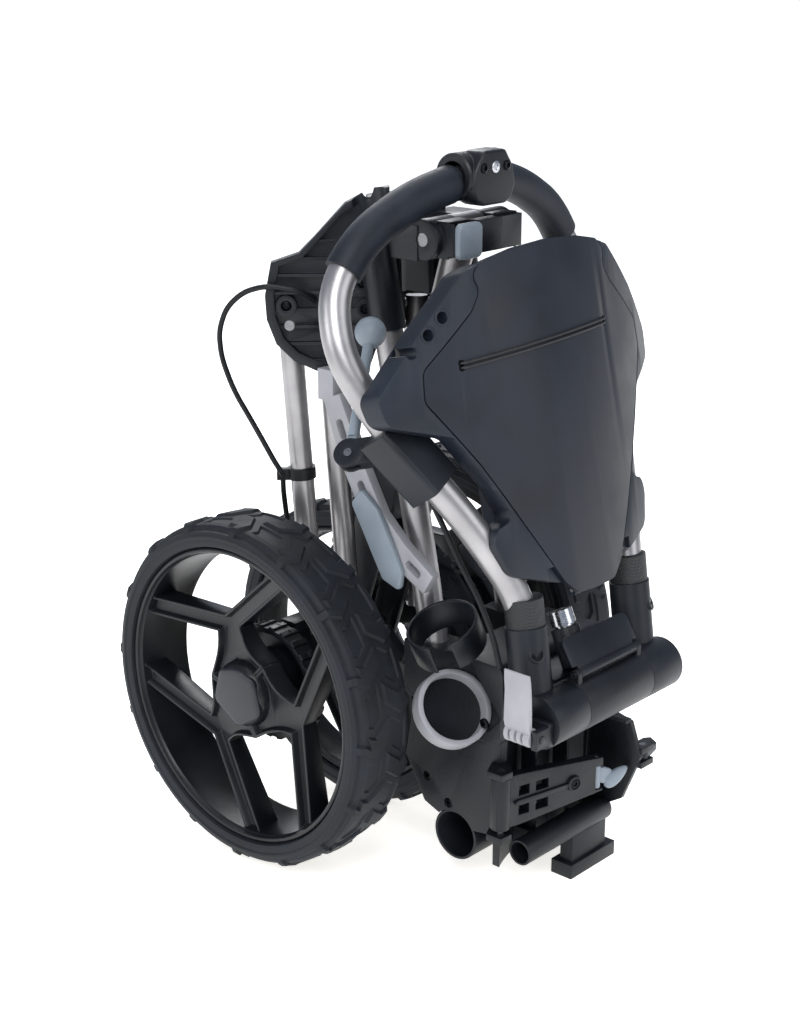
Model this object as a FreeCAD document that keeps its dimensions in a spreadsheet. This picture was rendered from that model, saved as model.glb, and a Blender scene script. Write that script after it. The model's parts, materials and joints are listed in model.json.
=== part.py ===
import FreeCAD, Part
import math
import os
import re
from FreeCAD import Placement, Rotation, Vector

# Folded three-wheel golf push trolley, millimetres.
# +X is the trolley's right, -Y its front (the tray lid), +Z is up and z = 0 is the floor.

doc = FreeCAD.newDocument("folding_trolley")
sheet = doc.addObject("Spreadsheet::Sheet", "dims")

DRIVING = {
    # rear wheels
    "wheel_r": 145, "wheel_wide": 60, "wheel_x": 125, "axle_y": 58, "axle_z": 145,
    "tyre_depth": 25, "lug_high": 4, "lug_long": 30, "rim_wall": 5, "spoke_wide": 16, "spoke_deep": 22,
    "spoke_rib": 2.6, "spoke_spread": 44, "web_reach": 55, "groove_deep": 7, "rim_turn": -21,
    "hub_r": 27, "bearing_r": 14, "bearing_wide": 8, "axle_r": 6, "drum_r": 46,
    # front wheel and its fork
    "front_r": 135, "front_wide": 40, "front_y": 65, "front_z": 138, "fork_gap": 1.5,
    "fork_arm": 5, "fork_tube_r": 12, "fork_crown": 150,
    # main hinge of the front fork
    "barrel_y": -42, "barrel_z": 500, "barrel_r": 15, "barrel_half": 45,
    "pin_r": 5, "fit": 0.05, "side_gap": 0.5,
    # swinging legs
    "leg_r": 9, "leg_wall": 1.5, "leg_plane": 2, "leg_pitch": 29, "leg_w": 100, "leg_top": 428,
    "leg_drop": 248, "leg_lean": 3.6, "leg_pin_r": 4, "leg_past": 6, "cheek": 5,
    # twin main tubes
    "post_x": 46, "post_r": 11, "post_low_y": -59, "post_low_z": 184, "post_high_y": 2,
    "post_high_z": 486, "tube_wall": 1.5, "socket_r": 13.5, "socket_long": 58,
    # handle
    "fold_y": -183, "fold_z": 172, "fold_r": 20, "fold_half": 78, "fold_core": 40,
    "handle_r": 11.3, "grip_r": 14, "sleeve_x": 64, "sleeve_r": 15.5, "sleeve_long": 59,
    "lean": 26.7,
    # tray
    "tray_lean": 12.6, "tray_bow": 320, "tray_front": 12, "lid_thick": 4, "tray_thick": 16,
    "seam": 1.0, "tray_wall": 2.5,
    # small controls
    "button": 26, "ball_r": 11.6, "cable_r": 2.1, "screw_r": 4,
}
for row, (alias, value) in enumerate(DRIVING.items(), start=1):
    sheet.set("A%d" % row, alias)
    sheet.set("B%d" % row, str(value))
    sheet.setAlias("B%d" % row, alias)
doc.recompute()


class Sizes:
    """Reads a driving dimension from the sheet as a plain number."""

    def __getattr__(self, alias):
        return float(sheet.get(alias))


v = Sizes()
NODES = []
X, Y, Z = Vector(1, 0, 0), Vector(0, 1, 0), Vector(0, 0, 1)
HALF = math.sqrt(0.5)


# ---------------------------------------------------------------- helpers
def bound(obj, **sizes):
    """Binds properties to expressions over the sheet's aliases."""
    for prop, text in sizes.items():
        full = re.sub(r"[a-z_]+[a-z0-9_]*", lambda found: "dims." + found.group(0), str(text))
        obj.setExpression(prop, full)
    return obj


def turned(axis):
    """Rotation that carries +Z onto axis."""
    return Rotation(Z, Vector(axis))


def cylinder(name, radius, height, at, axis=Z):
    obj = doc.addObject("Part::Cylinder", name)
    obj.Placement = Placement(Vector(at), turned(axis))
    return bound(obj, Radius=radius, Height=height)


def fuse(name, parts):
    obj = doc.addObject("Part::MultiFuse", name)
    obj.Shapes = parts
    obj.Refine = True
    return obj


def cut(name, base, tools):
    obj = doc.addObject("Part::Cut", name)
    obj.Base = base
    obj.Tool = tools[0] if len(tools) == 1 else fuse(name + "_tools", tools)
    obj.Refine = True
    return obj


def shaped(name, shape):
    """A part whose outline no primitive or sketch feature makes."""
    obj = doc.addObject("Part::Feature", name)
    place = shape.Placement
    obj.Shape = shape
    obj.Placement = place
    return obj


def mirrored(label, source):
    obj = doc.addObject("Part::Mirroring", label)
    obj.Source = source
    obj.Normal = X
    obj.Base = Vector()
    return node(obj, label)


def node(obj, label):
    """Names a finished sub-part, so that it is exported."""
    obj.Label = label
    NODES.append(obj)
    return obj


def gathered(label, *members):
    """Several pieces of the same kind as the separate solids of one sub-part."""
    for member in members:
        if member in NODES:
            NODES.remove(member)
    group = doc.addObject("Part::Compound", label + "_set")
    group.Links = list(members)
    return node(group, label)


def plane_of(body, role):
    return next(f for f in body.Origin.OriginFeatures if f.Role == role)


def sketch(body, name, role, loops, lift=0.0):
    """A sketch of closed loops of points on one of the body's own planes."""
    sk = body.newObject("Sketcher::SketchObject", name)
    sk.AttachmentSupport = [(plane_of(body, role), "")]
    sk.MapMode = "FlatFace"
    sk.AttachmentOffset = Placement(Vector(0, 0, lift), Rotation())
    for loop in loops:
        points = [Vector(a, b, 0) for a, b in loop]
        for start, end in zip(points, points[1:] + points[:1]):
            sk.addGeometry(Part.LineSegment(start, end), False)
    return sk


def revolution(body, name, sk, axis="H_Axis"):
    feature = body.newObject("PartDesign::Revolution", name)
    feature.Profile = sk
    feature.ReferenceAxis = (sk, [axis])
    feature.Angle = 360
    return feature


def pad(body, name, sk, length, both=False):
    feature = body.newObject("PartDesign::Pad", name)
    feature.Profile = sk
    bound(feature, Length=length)
    feature.Midplane = both
    return feature


def pocket(body, name, sk, length, backward=False):
    feature = body.newObject("PartDesign::Pocket", name)
    feature.Profile = sk
    bound(feature, Length=length)
    feature.Reversed = backward
    return feature


def around(body, name, features, count):
    """Repeats features about the body's X axis."""
    pattern = body.newObject("PartDesign::PolarPattern", name)
    pattern.Originals = features
    pattern.Axis = (plane_of(body, "X_Axis"), [""])
    pattern.Angle = 360
    pattern.Occurrences = count
    body.Tip = pattern
    return pattern


def ring_points(radius, count, start=0.0):
    return [(radius * math.cos(math.radians(start + 360.0 * k / count)),
             radius * math.sin(math.radians(start + 360.0 * k / count))) for k in range(count)]


def path(points, factor=0.45):
    """Straight runs joined by tangent arcs through a list of points."""
    pts = [Vector(p) for p in points]
    edges, last = [], pts[0]
    for before, here, after in zip(pts, pts[1:], pts[2:]):
        a, b = before - here, after - here
        turn = math.pi - a.getAngle(b)
        run = min(a.Length, b.Length)
        radius = factor * run / math.tan(turn / 2)
        back = factor * run
        start, end = here + a.normalize() * back, here + b.normalize() * back
        middle = (a + b).normalize()
        top = here + middle * (radius / math.cos(turn / 2) - radius)
        if (start - last).Length > 1e-6:
            edges.append(Part.LineSegment(last, start).toShape())
        edges.append(Part.Arc(start, top, end).toShape())
        last = end
    edges.append(Part.LineSegment(last, pts[-1]).toShape())
    return Part.Wire(edges)


def rod(points, radius, bore=0.0):
    """A round bar or tube along a path."""
    spine = path(points)
    start = Vector(points[0])
    direction = (Vector(points[1]) - start).normalize()
    profile = Part.Wire(Part.makeCircle(radius, start, direction))
    solid = spine.makePipeShell([profile], True, True)
    if bore:
        inner = Part.Wire(Part.makeCircle(bore, start, direction))
        solid = solid.cut(spine.makePipeShell([inner], True, True))
    return solid


def slab(points, thick, place, rounded=0.0):
    """A flat plate: a closed outline in a local XY plane, thickened along local Z."""
    wire = Part.makePolygon([Vector(a, b, 0) for a, b in list(points) + [points[0]]])
    solid = Part.Face(wire).extrude(Vector(0, 0, thick))
    if rounded:
        upright = [e for e in solid.Edges if abs(e.Vertexes[0].Z - e.Vertexes[-1].Z) > thick * 0.9]
        solid = solid.makeFillet(rounded, upright)
    solid.Placement = place
    return solid


def frame_of(origin, first, third):
    """Placement whose local X is first and local Z is third."""
    first, third = Vector(first).normalize(), Vector(third).normalize()
    second = third.cross(first)
    matrix = FreeCAD.Matrix(first.x, second.x, third.x, origin[0],
                            first.y, second.y, third.y, origin[1],
                            first.z, second.z, third.z, origin[2], 0, 0, 0, 1)
    return Placement(matrix)


# ---------------------------------------------------------------- shared places
W, M = Vector(-HALF, HALF, 0), Vector(-HALF, -HALF, 0)


def hip(w, m, z):
    """A point of the left leg's own upright plane: w outward and back, m towards the front left."""
    return W * w + M * m + Z * z


def leg_point(outer, top):
    """A pin centre of the leg linkage."""
    w = v.leg_w - (0 if outer else v.leg_pitch)
    if top:
        return hip(w, v.leg_plane, v.leg_top)
    return hip(w - v.leg_drop * math.tan(math.radians(v.leg_lean)), v.leg_plane,
               v.leg_top - v.leg_drop)


def handle_place():
    """Handle frame: local X is +X, local Y runs up the handle, local Z faces the front."""
    tilt = math.radians(v.lean)
    return frame_of((0, v.fold_y, v.fold_z), X, Vector(0, -math.cos(tilt), math.sin(tilt)))


def tray_place(off=0.0):
    """Tray frame, the same way round, at the foot of the lid."""
    tilt = math.radians(v.tray_lean)
    front = Vector(0, -math.cos(tilt), math.sin(tilt))
    foot = Vector(0, v.fold_y + 19, v.fold_z + 83)
    return frame_of(foot + front * off, X, front)


AXLE = Vector(-v.wheel_x, v.axle_y, v.axle_z)
FRONT = Vector(0, v.front_y, v.front_z)
BARREL = Vector(0, v.barrel_y, v.barrel_z)
FOLD = Vector(0, v.fold_y, v.fold_z)


# ---------------------------------------------------------------- wheels
def tyre(label, at, radius, wide, lugs):
    """Foam tyre with raised lugs, seated on the rim."""
    body = doc.addObject("PartDesign::Body", label)
    base = radius - v.lug_high
    seat = radius - v.tyre_depth
    half = wide / 2
    edge = [(-half + 6, seat), (half - 6, seat), (half - 1, seat + 6), (half, base - 11), (half - 3, base - 3),
            (half - 10, base), (-half + 10, base), (-half + 3, base - 3), (-half, base - 11),
            (-half + 1, seat + 6)]
    revolution(body, label + "_ring", sketch(body, label + "_profile", "XY_Plane", [edge]))
    lug = [(-half + 2, base - 7), (-half + 8, radius), (half - 8, radius), (half - 2, base - 7)]
    block = pad(body, label + "_lug", sketch(body, label + "_lug_outline", "XY_Plane", [lug]),
                "lug_long", True)
    around(body, label + "_lugs", [block], lugs)
    body.Placement = Placement(at, Rotation())
    return node(body, label)


def beside(start, along, off, run=0.0):
    """Point at a run along a line and at a distance to its left."""
    return start + along * run + Vector(-along.y, along.x, 0) * off


def reaching(start, along, radius):
    """Point where a line from start gets to a radius about the axle."""
    lead = start.dot(along)
    return start + along * (math.sqrt(lead * lead - start.dot(start) + radius * radius) - lead)


def both_sides(right):
    """Closes a right-hand outline with its mirror image."""
    return [(p.x, p.y) for p in right] + [(-p.x, p.y) for p in reversed(right) if p.x > 1e-6]


def rim(label, at, radius, wide, face):
    """Moulded rim: barrel, hub and three lobes that each send two grooved spokes to the barrel."""
    body = doc.addObject("PartDesign::Body", label)
    seat = radius - v.tyre_depth - 0.05
    half, wall, rib = wide / 2 - 6, v.rim_wall, v.spoke_wide / 2
    barrel = [(-half, seat - wall), (half, seat - wall), (half, seat), (-half, seat)]
    hub = [(-half + 4, v.bearing_r), (half, v.bearing_r), (half, v.hub_r), (-half + 4, v.hub_r)]
    revolution(body, label + "_barrel", sketch(body, label + "_barrel_outline", "XY_Plane", [barrel]))
    revolution(body, label + "_hub", sketch(body, label + "_hub_outline", "XY_Plane", [hub]))

    corner = Vector(0, v.web_reach, 0)
    spread, third = math.radians(v.spoke_spread), math.radians(60)
    along = (Vector(math.sin(spread), math.cos(spread), 0) * (seat - wall) - corner).normalize()
    upper, lower = beside(corner, along, rib), beside(corner, along, -rib)
    root = lower + along * 12
    waist = Vector(math.sin(third), math.cos(third), 0)
    low = waist * (v.hub_r + 10)
    curve = [root + (low - root) * share - X * 4 for share in (0.3, 0.65)]
    lobe = both_sides([Vector(0, v.web_reach + rib / along.x, 0), reaching(upper, along, seat - wall / 2),
                       reaching(lower, along, seat - wall / 2), root] + curve
                      + [low, waist * (v.hub_r - 3), Vector(0, v.hub_r - 3, 0)])
    front = -half + 4 if face < 0 else half - 4
    outline = sketch(body, label + "_lobe_outline", "YZ_Plane", [lobe], front)
    arm = pad(body, label + "_lobe", outline, "spoke_deep")
    arm.Reversed = face > 0
    around(body, label + "_lobes", [arm], 3)
    edge, tip = rib - v.spoke_rib, seat - wall - 3
    channel = [beside(corner, along, edge, 16), reaching(beside(corner, along, edge), along, tip),
               reaching(beside(corner, along, -edge), along, tip), beside(corner, along, -edge, 16)]
    pit = both_sides([Vector(7, v.web_reach - 9, 0), Vector(10.5, v.hub_r + 3, 0)])
    loops = [[(p.x, p.y) for p in channel], [(-p.x, p.y) for p in reversed(channel)], pit]
    slot = pocket(body, label + "_groove",
                  sketch(body, label + "_groove_outline", "YZ_Plane", loops, front), "groove_deep", face < 0)
    around(body, label + "_grooves", [slot], 3)
    body.Placement = Placement(at, Rotation(X, v.rim_turn))
    return node(body, label)


def hub_cap():
    """Plain six-sided shield cap on the wheel's outer side."""
    outline = [(-27, -10), (-20, 18), (0, 24), (20, 18), (27, -10), (0, -27)]
    place = frame_of((AXLE.x - v.wheel_wide / 2 + 9.9, AXLE.y, AXLE.z), -Y, -X)
    cap = slab(outline, 5, place, 3)
    return node(shaped("hub_cap_left", cap), "hub_cap_left")


def drum():
    """Brake drum on the wheel's inner side: a disc with twelve lock holes and a flange."""
    body = doc.addObject("PartDesign::Body", "brake_drum_left")
    thick = 5
    start = v.wheel_wide / 2 - 6
    disc = [(start + 0.1, v.bearing_r + 2), (start + 5, v.bearing_r + 2), (start + 5, v.drum_r),
            (start - 12, v.drum_r), (start - 12, v.drum_r - 4), (start + 0.1, v.drum_r - 4)]
    revolution(body, "drum_turned", sketch(body, "drum_profile", "XY_Plane", [disc]))
    hole = [(36 + a, b) for a, b in ring_points(4.5, 12)]
    lock = pocket(body, "drum_lock", sketch(body, "drum_lock_outline", "YZ_Plane", [hole], start + 6),
                  "rim_wall + 5")
    around(body, "drum_locks", [lock], 12)
    body.Placement = Placement(AXLE, Rotation())
    return node(body, "brake_drum_left")


def bearings():
    """Two ball bearings in the hub, as plain rings on the axle."""
    rings = []
    for offset in (-10, 16):
        at = (AXLE.x + offset - v.bearing_wide / 2, AXLE.y, AXLE.z)
        outer = cylinder("bearing_out", "bearing_r", "bearing_wide", at, X)
        inner = cylinder("bearing_bore", "axle_r + fit", "bearing_wide", at, X)
        rings.append(cut("bearing", outer, [inner]))
    pair = doc.addObject("Part::Compound", "wheel_bearings_left")
    pair.Links = rings
    return node(pair, "wheel_bearings_left")


def front_bearings():
    rings = []
    for offset in (-6, 8):
        at = (offset - v.bearing_wide / 2, FRONT.y, FRONT.z)
        outer = cylinder("front_bearing_out", "bearing_r", "bearing_wide", at, X)
        inner = cylinder("front_bearing_bore", "axle_r + fit", "bearing_wide", at, X)
        rings.append(cut("front_bearing", outer, [inner]))
    pair = doc.addObject("Part::Compound", "front_bearings")
    pair.Links = rings
    return node(pair, "front_bearings")


# ---------------------------------------------------------------- legs
def leg(label, outer):
    """One tube of the leg linkage, its plugged ends drilled for the two pins."""
    low, high = leg_point(outer, False), leg_point(outer, True)
    along = (high - low).normalize()
    start = low - along * v.leg_past
    length = (high - low).Length + 2 * v.leg_past
    tube = Part.makeCylinder(v.leg_r, length, start, along)
    plug = 3 * v.leg_past
    tube = tube.cut(Part.makeCylinder(v.leg_r - v.leg_wall, length - 2 * plug, start + along * plug, along))
    bore = 2 * v.leg_r + 2
    for pin in (low, high):
        tube = tube.cut(Part.makeCylinder(v.leg_pin_r + v.fit, bore, pin - M * (bore / 2), M))
    return node(shaped(label, tube), label)


def leg_pin(name, centre, back, front):
    """A linkage pin along the leg plane's normal."""
    return cylinder(name, "leg_pin_r", "%g + %g" % (back, front), centre - M * back, M)


def hub_bracket():
    """Knuckle under the leg: two cheeks for the pins and a block for the axle and the brake pin."""
    outer, inner = leg_point(True, False), leg_point(False, False)
    low_z = outer.z - v.leg_pin_r - 26
    top_z = outer.z - 11.7
    w_out, w_in = outer.dot(W), inner.dot(W)
    front_m, back_m = v.leg_plane + v.leg_r + 0.5, v.leg_plane - v.leg_r - 0.5

    def upright(points, m0, m1):
        place = frame_of(M * m0, W, M)
        return slab(points, m1 - m0, place)

    cheek = [(w_in - 8, low_z + 4), (w_out + 11, low_z), (w_out + 11, outer.z + 4), (w_out + 5, outer.z + 10),
             (w_in - 3, outer.z + 10), (w_in - 8, outer.z + 5)]
    back = [(w_out - 12, low_z), (w_out + 11, low_z), (w_out + 11, outer.z + 4), (w_out + 5, outer.z + 10),
            (w_out - 6, outer.z + 10), (w_out - 12, outer.z + 4)]
    block = [(w_out - 12, low_z), (w_out + 11, low_z), (w_out + 11, top_z), (w_out - 12, top_z)]
    # local Y of the plates is M x W, which is -Z, so heights change sign
    down = [[(w, -z) for w, z in outline] for outline in (cheek, back, block)]
    solid = upright(down[0], front_m, front_m + v.cheek)
    solid = solid.fuse(upright(down[1], back_m - v.cheek, back_m))
    solid = solid.fuse(upright(down[2], back_m - v.cheek, front_m + v.cheek))
    boss = Part.makeCylinder(13, 30, Vector(-60, v.axle_y, v.axle_z), -X)
    ear = Part.makeBox(20, 16, 46, Vector(-91, v.axle_y - 8, v.axle_z))
    solid = solid.fuse([boss, ear]).removeSplitter()
    axle_hole = Part.makeCylinder(v.axle_r, 60, Vector(-50, v.axle_y, v.axle_z), -X)
    brake_hole = Part.makeCylinder(3.5 + v.fit, 30, Vector(-65, v.axle_y, v.axle_z + 36), -X)
    room = math.hypot(v.leg_r, v.leg_past) + 0.6
    back = v.leg_r + 0.4
    swing = Part.makeCylinder(room, 2 * back, outer + M * (v.leg_plane - back - outer.dot(M)), M)
    tools = [axle_hole, brake_hole, swing]
    for pin in (outer, inner):
        tools.append(Part.makeCylinder(v.leg_pin_r, 60, pin - M * 30, M))
    return node(shaped("hub_bracket_left", solid.cut(tools)), "hub_bracket_left")


def hub_pins():
    """The two lower pins, fixed in the knuckle."""
    pins = [leg_pin("hub_pin_outer", leg_point(True, False), v.leg_r + v.cheek + 2, v.leg_r + v.cheek + 2),
            leg_pin("hub_pin_inner", leg_point(False, False), v.leg_r + 1.5, v.leg_r + v.cheek + 2)]
    return pins


def stub_axle():
    """Axle pin with a retaining head outside the wheel bearing."""
    end = AXLE.x - 15
    shaft = cylinder("axle_shaft", "axle_r", "wheel_x + 15 - 55", (-55, v.axle_y, v.axle_z), -X)
    head = cylinder("axle_head", "axle_r + 3", "2.5", (end, v.axle_y, v.axle_z), -X)
    return fuse("stub_axle_left", [shaft, head])


def brake_pin():
    """Lock pin that enters the drum's holes."""
    return node(cylinder("brake_pin_left", "3.5", "23", (-72, v.axle_y, v.axle_z + 36), -X), "brake_pin_left")


# ---------------------------------------------------------------- hip castings
def hip_outline():
    """Outline of the ribbed cover, w outward and z up."""
    return [(38, 400), (60, 392), (80, 394), (97, 402), (110, 415), (117, 434), (118, 452), (113, 477),
            (92, 484), (80, 496), (57, 521), (38, 531), (24, 533), (24, 440)]


def hip_cover(core):
    """Ribbed front cover over the tops of the leg tubes."""
    m0 = v.leg_plane + v.leg_r + 1
    place = frame_of(M * m0, W, M)
    outline = [(w, -z) for w, z in hip_outline()]
    shell = slab(outline, 9, place)
    centre_w = sum(w for w, _ in hip_outline()) / len(hip_outline())
    centre_z = sum(z for _, z in hip_outline()) / len(hip_outline())
    inset = [(centre_w + (w - centre_w) * 0.84, -(centre_z + (z - centre_z) * 0.88))
             for w, z in hip_outline()]
    recess = slab(inset, 7, frame_of(M * (m0 + 3), W, M))
    cover = shell.cut(recess)
    ribs = []
    for k in range(8):
        z = 403 + 13 * k
        rib = Part.makeBox(130, 2.4, 4, Vector(0, 0, 0))
        rib.Placement = frame_of(W * 0 + M * (m0 + 3) + Z * z, W, M)
        ribs.append(rib.common(recess))
    for w, z in ((102, 444), (44, 461), (42, 441)):
        ribs.append(Part.makeCylinder(8, 7, hip(w, m0 + 0.5, z), M))
    cover = cover.fuse(ribs).removeSplitter()
    holes = [Part.makeCylinder(v.leg_pin_r, 30, hip(w, 0, v.leg_top), M)
             for w in (v.leg_w, v.leg_w - v.leg_pitch)]
    holes += [Part.makeCylinder(4, 6, hip(w, m0 + 4, z), M) for w, z in ((102, 444), (44, 461), (42, 441))]
    holes.append(Part.makeCylinder(v.socket_r + 0.1, 200, post_point(395), post_line()))
    cover = cover.cut(holes + [core.Shape, rod(LOOP_CABLE, v.cable_r)])
    cover = max(cover.Solids, key=lambda s: s.Volume)
    return node(shaped("hip_cover_left", cover), "hip_cover_left")


def hip_pins():
    """The two upper linkage pins of the left legs."""
    pins = []
    for outer in (True, False):
        pins.append(leg_pin("hip_pin", leg_point(outer, True), v.leg_r + v.cheek + 1, v.leg_r + 4))
    return pins


def post_line():
    """Direction of the twin main tubes, upwards."""
    return Vector(0, v.post_high_y - v.post_low_y, v.post_high_z - v.post_low_z).normalize()


def post_point(z):
    """Centre of the left main tube at a height."""
    share = (z - v.post_low_z) / (v.post_high_z - v.post_low_z)
    return Vector(-v.post_x, v.post_low_y + share * (v.post_high_y - v.post_low_y), z)


def hip_core():
    """Central casting: tube sockets, fork knuckles, bridge and the rear cheeks of both legs."""
    half = []
    line = post_line()
    low = post_point(v.post_high_z) - line * v.socket_long
    half.append(Part.makeCylinder(v.socket_r, v.socket_long + 8, low, line))
    knuckle_long = v.barrel_half - 16
    half.append(Part.makeCylinder(v.barrel_r, knuckle_long, BARREL - X * v.barrel_half, X))
    half.append(Part.makeBox(30, 44, 26, Vector(-46, v.barrel_y + 4, v.barrel_z - 16)))
    half.append(Part.makeBox(28, 12, 27, Vector(-39, v.barrel_y - 20, v.barrel_z - 13)))
    back_m = v.leg_plane - v.leg_r - 1
    cheek = [(w, -z) for w, z in [(58, 415), (64, 408), (104, 408), (112, 418), (113, 455), (92, 470),
                                  (70, 500), (44, 512), (30, 500), (30, 445), (58, 440)]]
    half.append(slab(cheek, v.cheek, frame_of(M * (back_m - v.cheek), W, M)))
    bridge_cheek = [(w, -z) for w, z in [(14, 446), (44, 446), (50, 500), (40, 524), (16, 528)]]
    half.append(slab(bridge_cheek, v.leg_plane + v.leg_r + 1 - back_m, frame_of(M * back_m, W, M)))
    solid = half[0].fuse(half[1:])
    gap = Part.makeBox(2 * v.fork_tube_r + 4, 300, 400, Vector(-v.fork_tube_r - 2, v.barrel_y + 2, 200))
    keep = Part.makeBox(200, 400, 400, Vector(-200 - 15.6, -200, 300))
    solid = solid.common(keep)
    tube_hole = Part.makeCylinder(v.post_r, 120, low - line * 20, line)
    tube_hole = tube_hole.cut(Part.makeCylinder(40, 40, post_point(v.post_high_z), line))
    pin_hole = Part.makeCylinder(v.pin_r, 100, BARREL - X * 60, X)
    holes = [tube_hole, pin_hole, button_well()]
    holes += [Part.makeCylinder(v.leg_pin_r, 40, hip(w, v.leg_plane - 30, v.leg_top), M)
              for w in (v.leg_w, v.leg_w - v.leg_pitch)]
    solid = solid.cut(holes)
    solid = max(solid.Solids, key=lambda s: s.Volume)
    other = solid.mirror(Vector(), X)
    bridge = Part.makeBox(31.4, 9, 24, Vector(-15.7, v.barrel_y - 25.5, v.barrel_z - 11))
    bridge = bridge.fuse(Part.makeBox(78, 5, 24, Vector(-39, v.barrel_y - 25, v.barrel_z - 11)))
    bridge = bridge.cut(button_well())
    core = solid.fuse([other, bridge]).removeSplitter()
    core = core.cut(gap.cut(bridge))
    return node(shaped("hip_core", core), "hip_core")


def button_centre():
    return Vector(-25, v.barrel_y - 20, v.barrel_z)


def button_well():
    """Square well that the release button slides in."""
    side = v.button + 0.8
    c = button_centre()
    return Part.makeBox(side, 40, side, Vector(c.x - side / 2, c.y - 32, c.z - side / 2)).common(
        Part.makeBox(200, 34.5, 200, Vector(-100, c.y - 32, c.z - 100)))


def release_button():
    """Square push button of the front hinge."""
    c = button_centre()
    side = v.button
    cap = Part.makeBox(side, 6, side, Vector(c.x - side / 2, c.y - 10, c.z - side / 2))
    upright = [e for e in cap.Edges if abs(e.Vertexes[0].Y - e.Vertexes[-1].Y) > 5]
    cap = cap.makeFillet(5, upright)
    return node(shaped("release_button", cap), "release_button")


def hip_screws():
    """Heads of the casting screws, all alike."""
    m0 = v.leg_plane + v.leg_r + 1
    heads = []
    for w, z in ((102, 444), (44, 461), (42, 441)):
        left = hip(w, m0 + 4, z)
        heads.append(cylinder("screw", "screw_r - 0.1", "3", left, M))
        right = Vector(-left.x, left.y, left.z)
        heads.append(cylinder("screw", "screw_r - 0.1", "3", right, Vector(HALF, -HALF, 0)))
    return heads


# ---------------------------------------------------------------- front fork
def fork_line():
    return (FRONT - BARREL).normalize()


def fork_tube():
    """Tube from the front hinge down to the fork crown, with its hinge eye."""
    line = fork_line()
    reach = (FRONT - BARREL).Length - v.fork_crown
    tube = Part.makeCylinder(v.fork_tube_r, reach, BARREL, line)
    tube = tube.cut(Part.makeCylinder(v.fork_tube_r - 2, reach, BARREL + line * 30, line))
    eye = Part.makeCylinder(v.barrel_r, 30, BARREL - X * 15, X)
    tube = tube.fuse(eye).removeSplitter()
    tube = tube.cut(Part.makeCylinder(v.pin_r + v.fit, 60, BARREL - X * 30, X))
    return node(shaped("fork_tube", tube), "fork_tube")


def fork_crown():
    """Crown block and the two arms down to the front axle."""
    line = fork_line()
    across = line.cross(X)
    start = BARREL + line * ((FRONT - BARREL).Length - v.fork_crown - 30)
    inner = v.front_wide / 2 + v.fork_gap
    outer = inner + v.fork_arm
    place = frame_of(start - X * outer, line, X)
    body = slab([(-2, -17), (38, -17), (38, 17), (-2, 17)], 2 * outer, place)
    arms = slab([(20, -17), (40, -17), (v.fork_crown + 30, -12), (v.fork_crown + 44, 0),
                 (v.fork_crown + 30, 12), (40, 17), (20, 17)], 2 * outer, place)
    room = slab([(38, -30), (v.fork_crown + 60, -30), (v.fork_crown + 60, 30), (38, 30)], 2 * inner,
                frame_of(start - X * inner, line, X))
    solid = body.fuse(arms.cut(room)).removeSplitter()
    socket = Part.makeCylinder(v.fork_tube_r, 32, start - line * 2, line)
    axle = Part.makeCylinder(v.axle_r, 100, FRONT - X * 50, X)
    return node(shaped("fork_crown", solid.cut([socket, axle])), "fork_crown")


def front_axle():
    """Front axle rod between the fork arms, with end nuts."""
    half = v.front_wide / 2 + v.fork_gap + v.fork_arm
    shaft = cylinder("front_shaft", "axle_r", 2 * half, FRONT - X * half, X)
    nuts = [cylinder("front_nut", "axle_r + 3", "2", FRONT + X * side, X) for side in (half, -half - 2)]
    return node(fuse("front_axle", [shaft] + nuts), "front_axle")


# ---------------------------------------------------------------- handle
LOOP = [(0, -53, 544), (-60, -45, 531), (-106, -39, 508), (-134, -37, 474), (-145, -53, 434),
        (-132, -81, 386), (-94, -127, 318), (-64, -157, 254), (-64, -166, 191)]


def loop_points():
    left = [Vector(p) for p in LOOP]
    right = [Vector(-p.x, p.y, p.z) for p in left[1:]]
    return list(reversed(left)) + right


def lower_loop():
    """Solid bar along the lower left end of the loop, to bore its sockets with."""
    return rod([Vector(p) for p in LOOP[-4:]], v.handle_r)


def handle_loop():
    """Bent aluminium loop that carries the grips and the tray."""
    return node(shaped("handle_tube", rod(loop_points(), v.handle_r, v.handle_r - 1.6)), "handle_tube")


def grip():
    """Soft sleeve over the upper left of the loop."""
    whole = rod(loop_points(), v.grip_r, v.handle_r)
    end, run = Vector(-124, -37.6, 487), (Vector(LOOP[3]) - Vector(LOOP[2])).normalize()
    beyond = Part.makeBox(400, 400, 400, Vector(-200, -200, 0))
    beyond.Placement = frame_of(end, run.cross(Y), run).multiply(Placement(Vector(0, 0, 0), Rotation()))
    middle = Part.makeBox(425, 400, 400, Vector(-25, -250, 300))
    upper = Part.makeBox(300, 300, 400, Vector(-300, -200, 430))
    kept = whole.cut([beyond, middle]).common(upper)
    return node(shaped("grip_left", max(kept.Solids, key=lambda s: s.Volume)), "grip_left")


def loop_clamp():
    """Centre clamp on top of the loop."""
    core = Part.makeCylinder(17.5, 49, Vector(-24.5, -53, 544), X)
    pad_box = Part.makeBox(44, 18, 30, Vector(-22, -73, 536))
    solid = core.fuse(pad_box).removeSplitter()
    left, top = Vector(LOOP[1]), Vector(LOOP[0])
    solid = solid.cut(rod([left, top, Vector(-left.x, left.y, left.z)], v.handle_r))
    for x in (-13, 13):
        solid = solid.cut(Part.makeCylinder(v.screw_r, 5, Vector(x, -74, 551), Y))
    solid = solid.cut(Part.makeCylinder(5, 3, Vector(0, -74, 551), Y))
    return node(shaped("loop_clamp", solid), "loop_clamp")


def clamp_screws():
    heads = [cylinder("clamp_screw", "screw_r - 0.1", "3", (x, -72, 551), Y) for x in (-13, 13)]
    insert = cylinder("clamp_insert", "4.9", "1.5", (0, -73, 551), Y)
    return heads + [insert]


def sleeve_line():
    return (Vector(LOOP[-1]) - Vector(LOOP[-2])).normalize()


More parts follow.
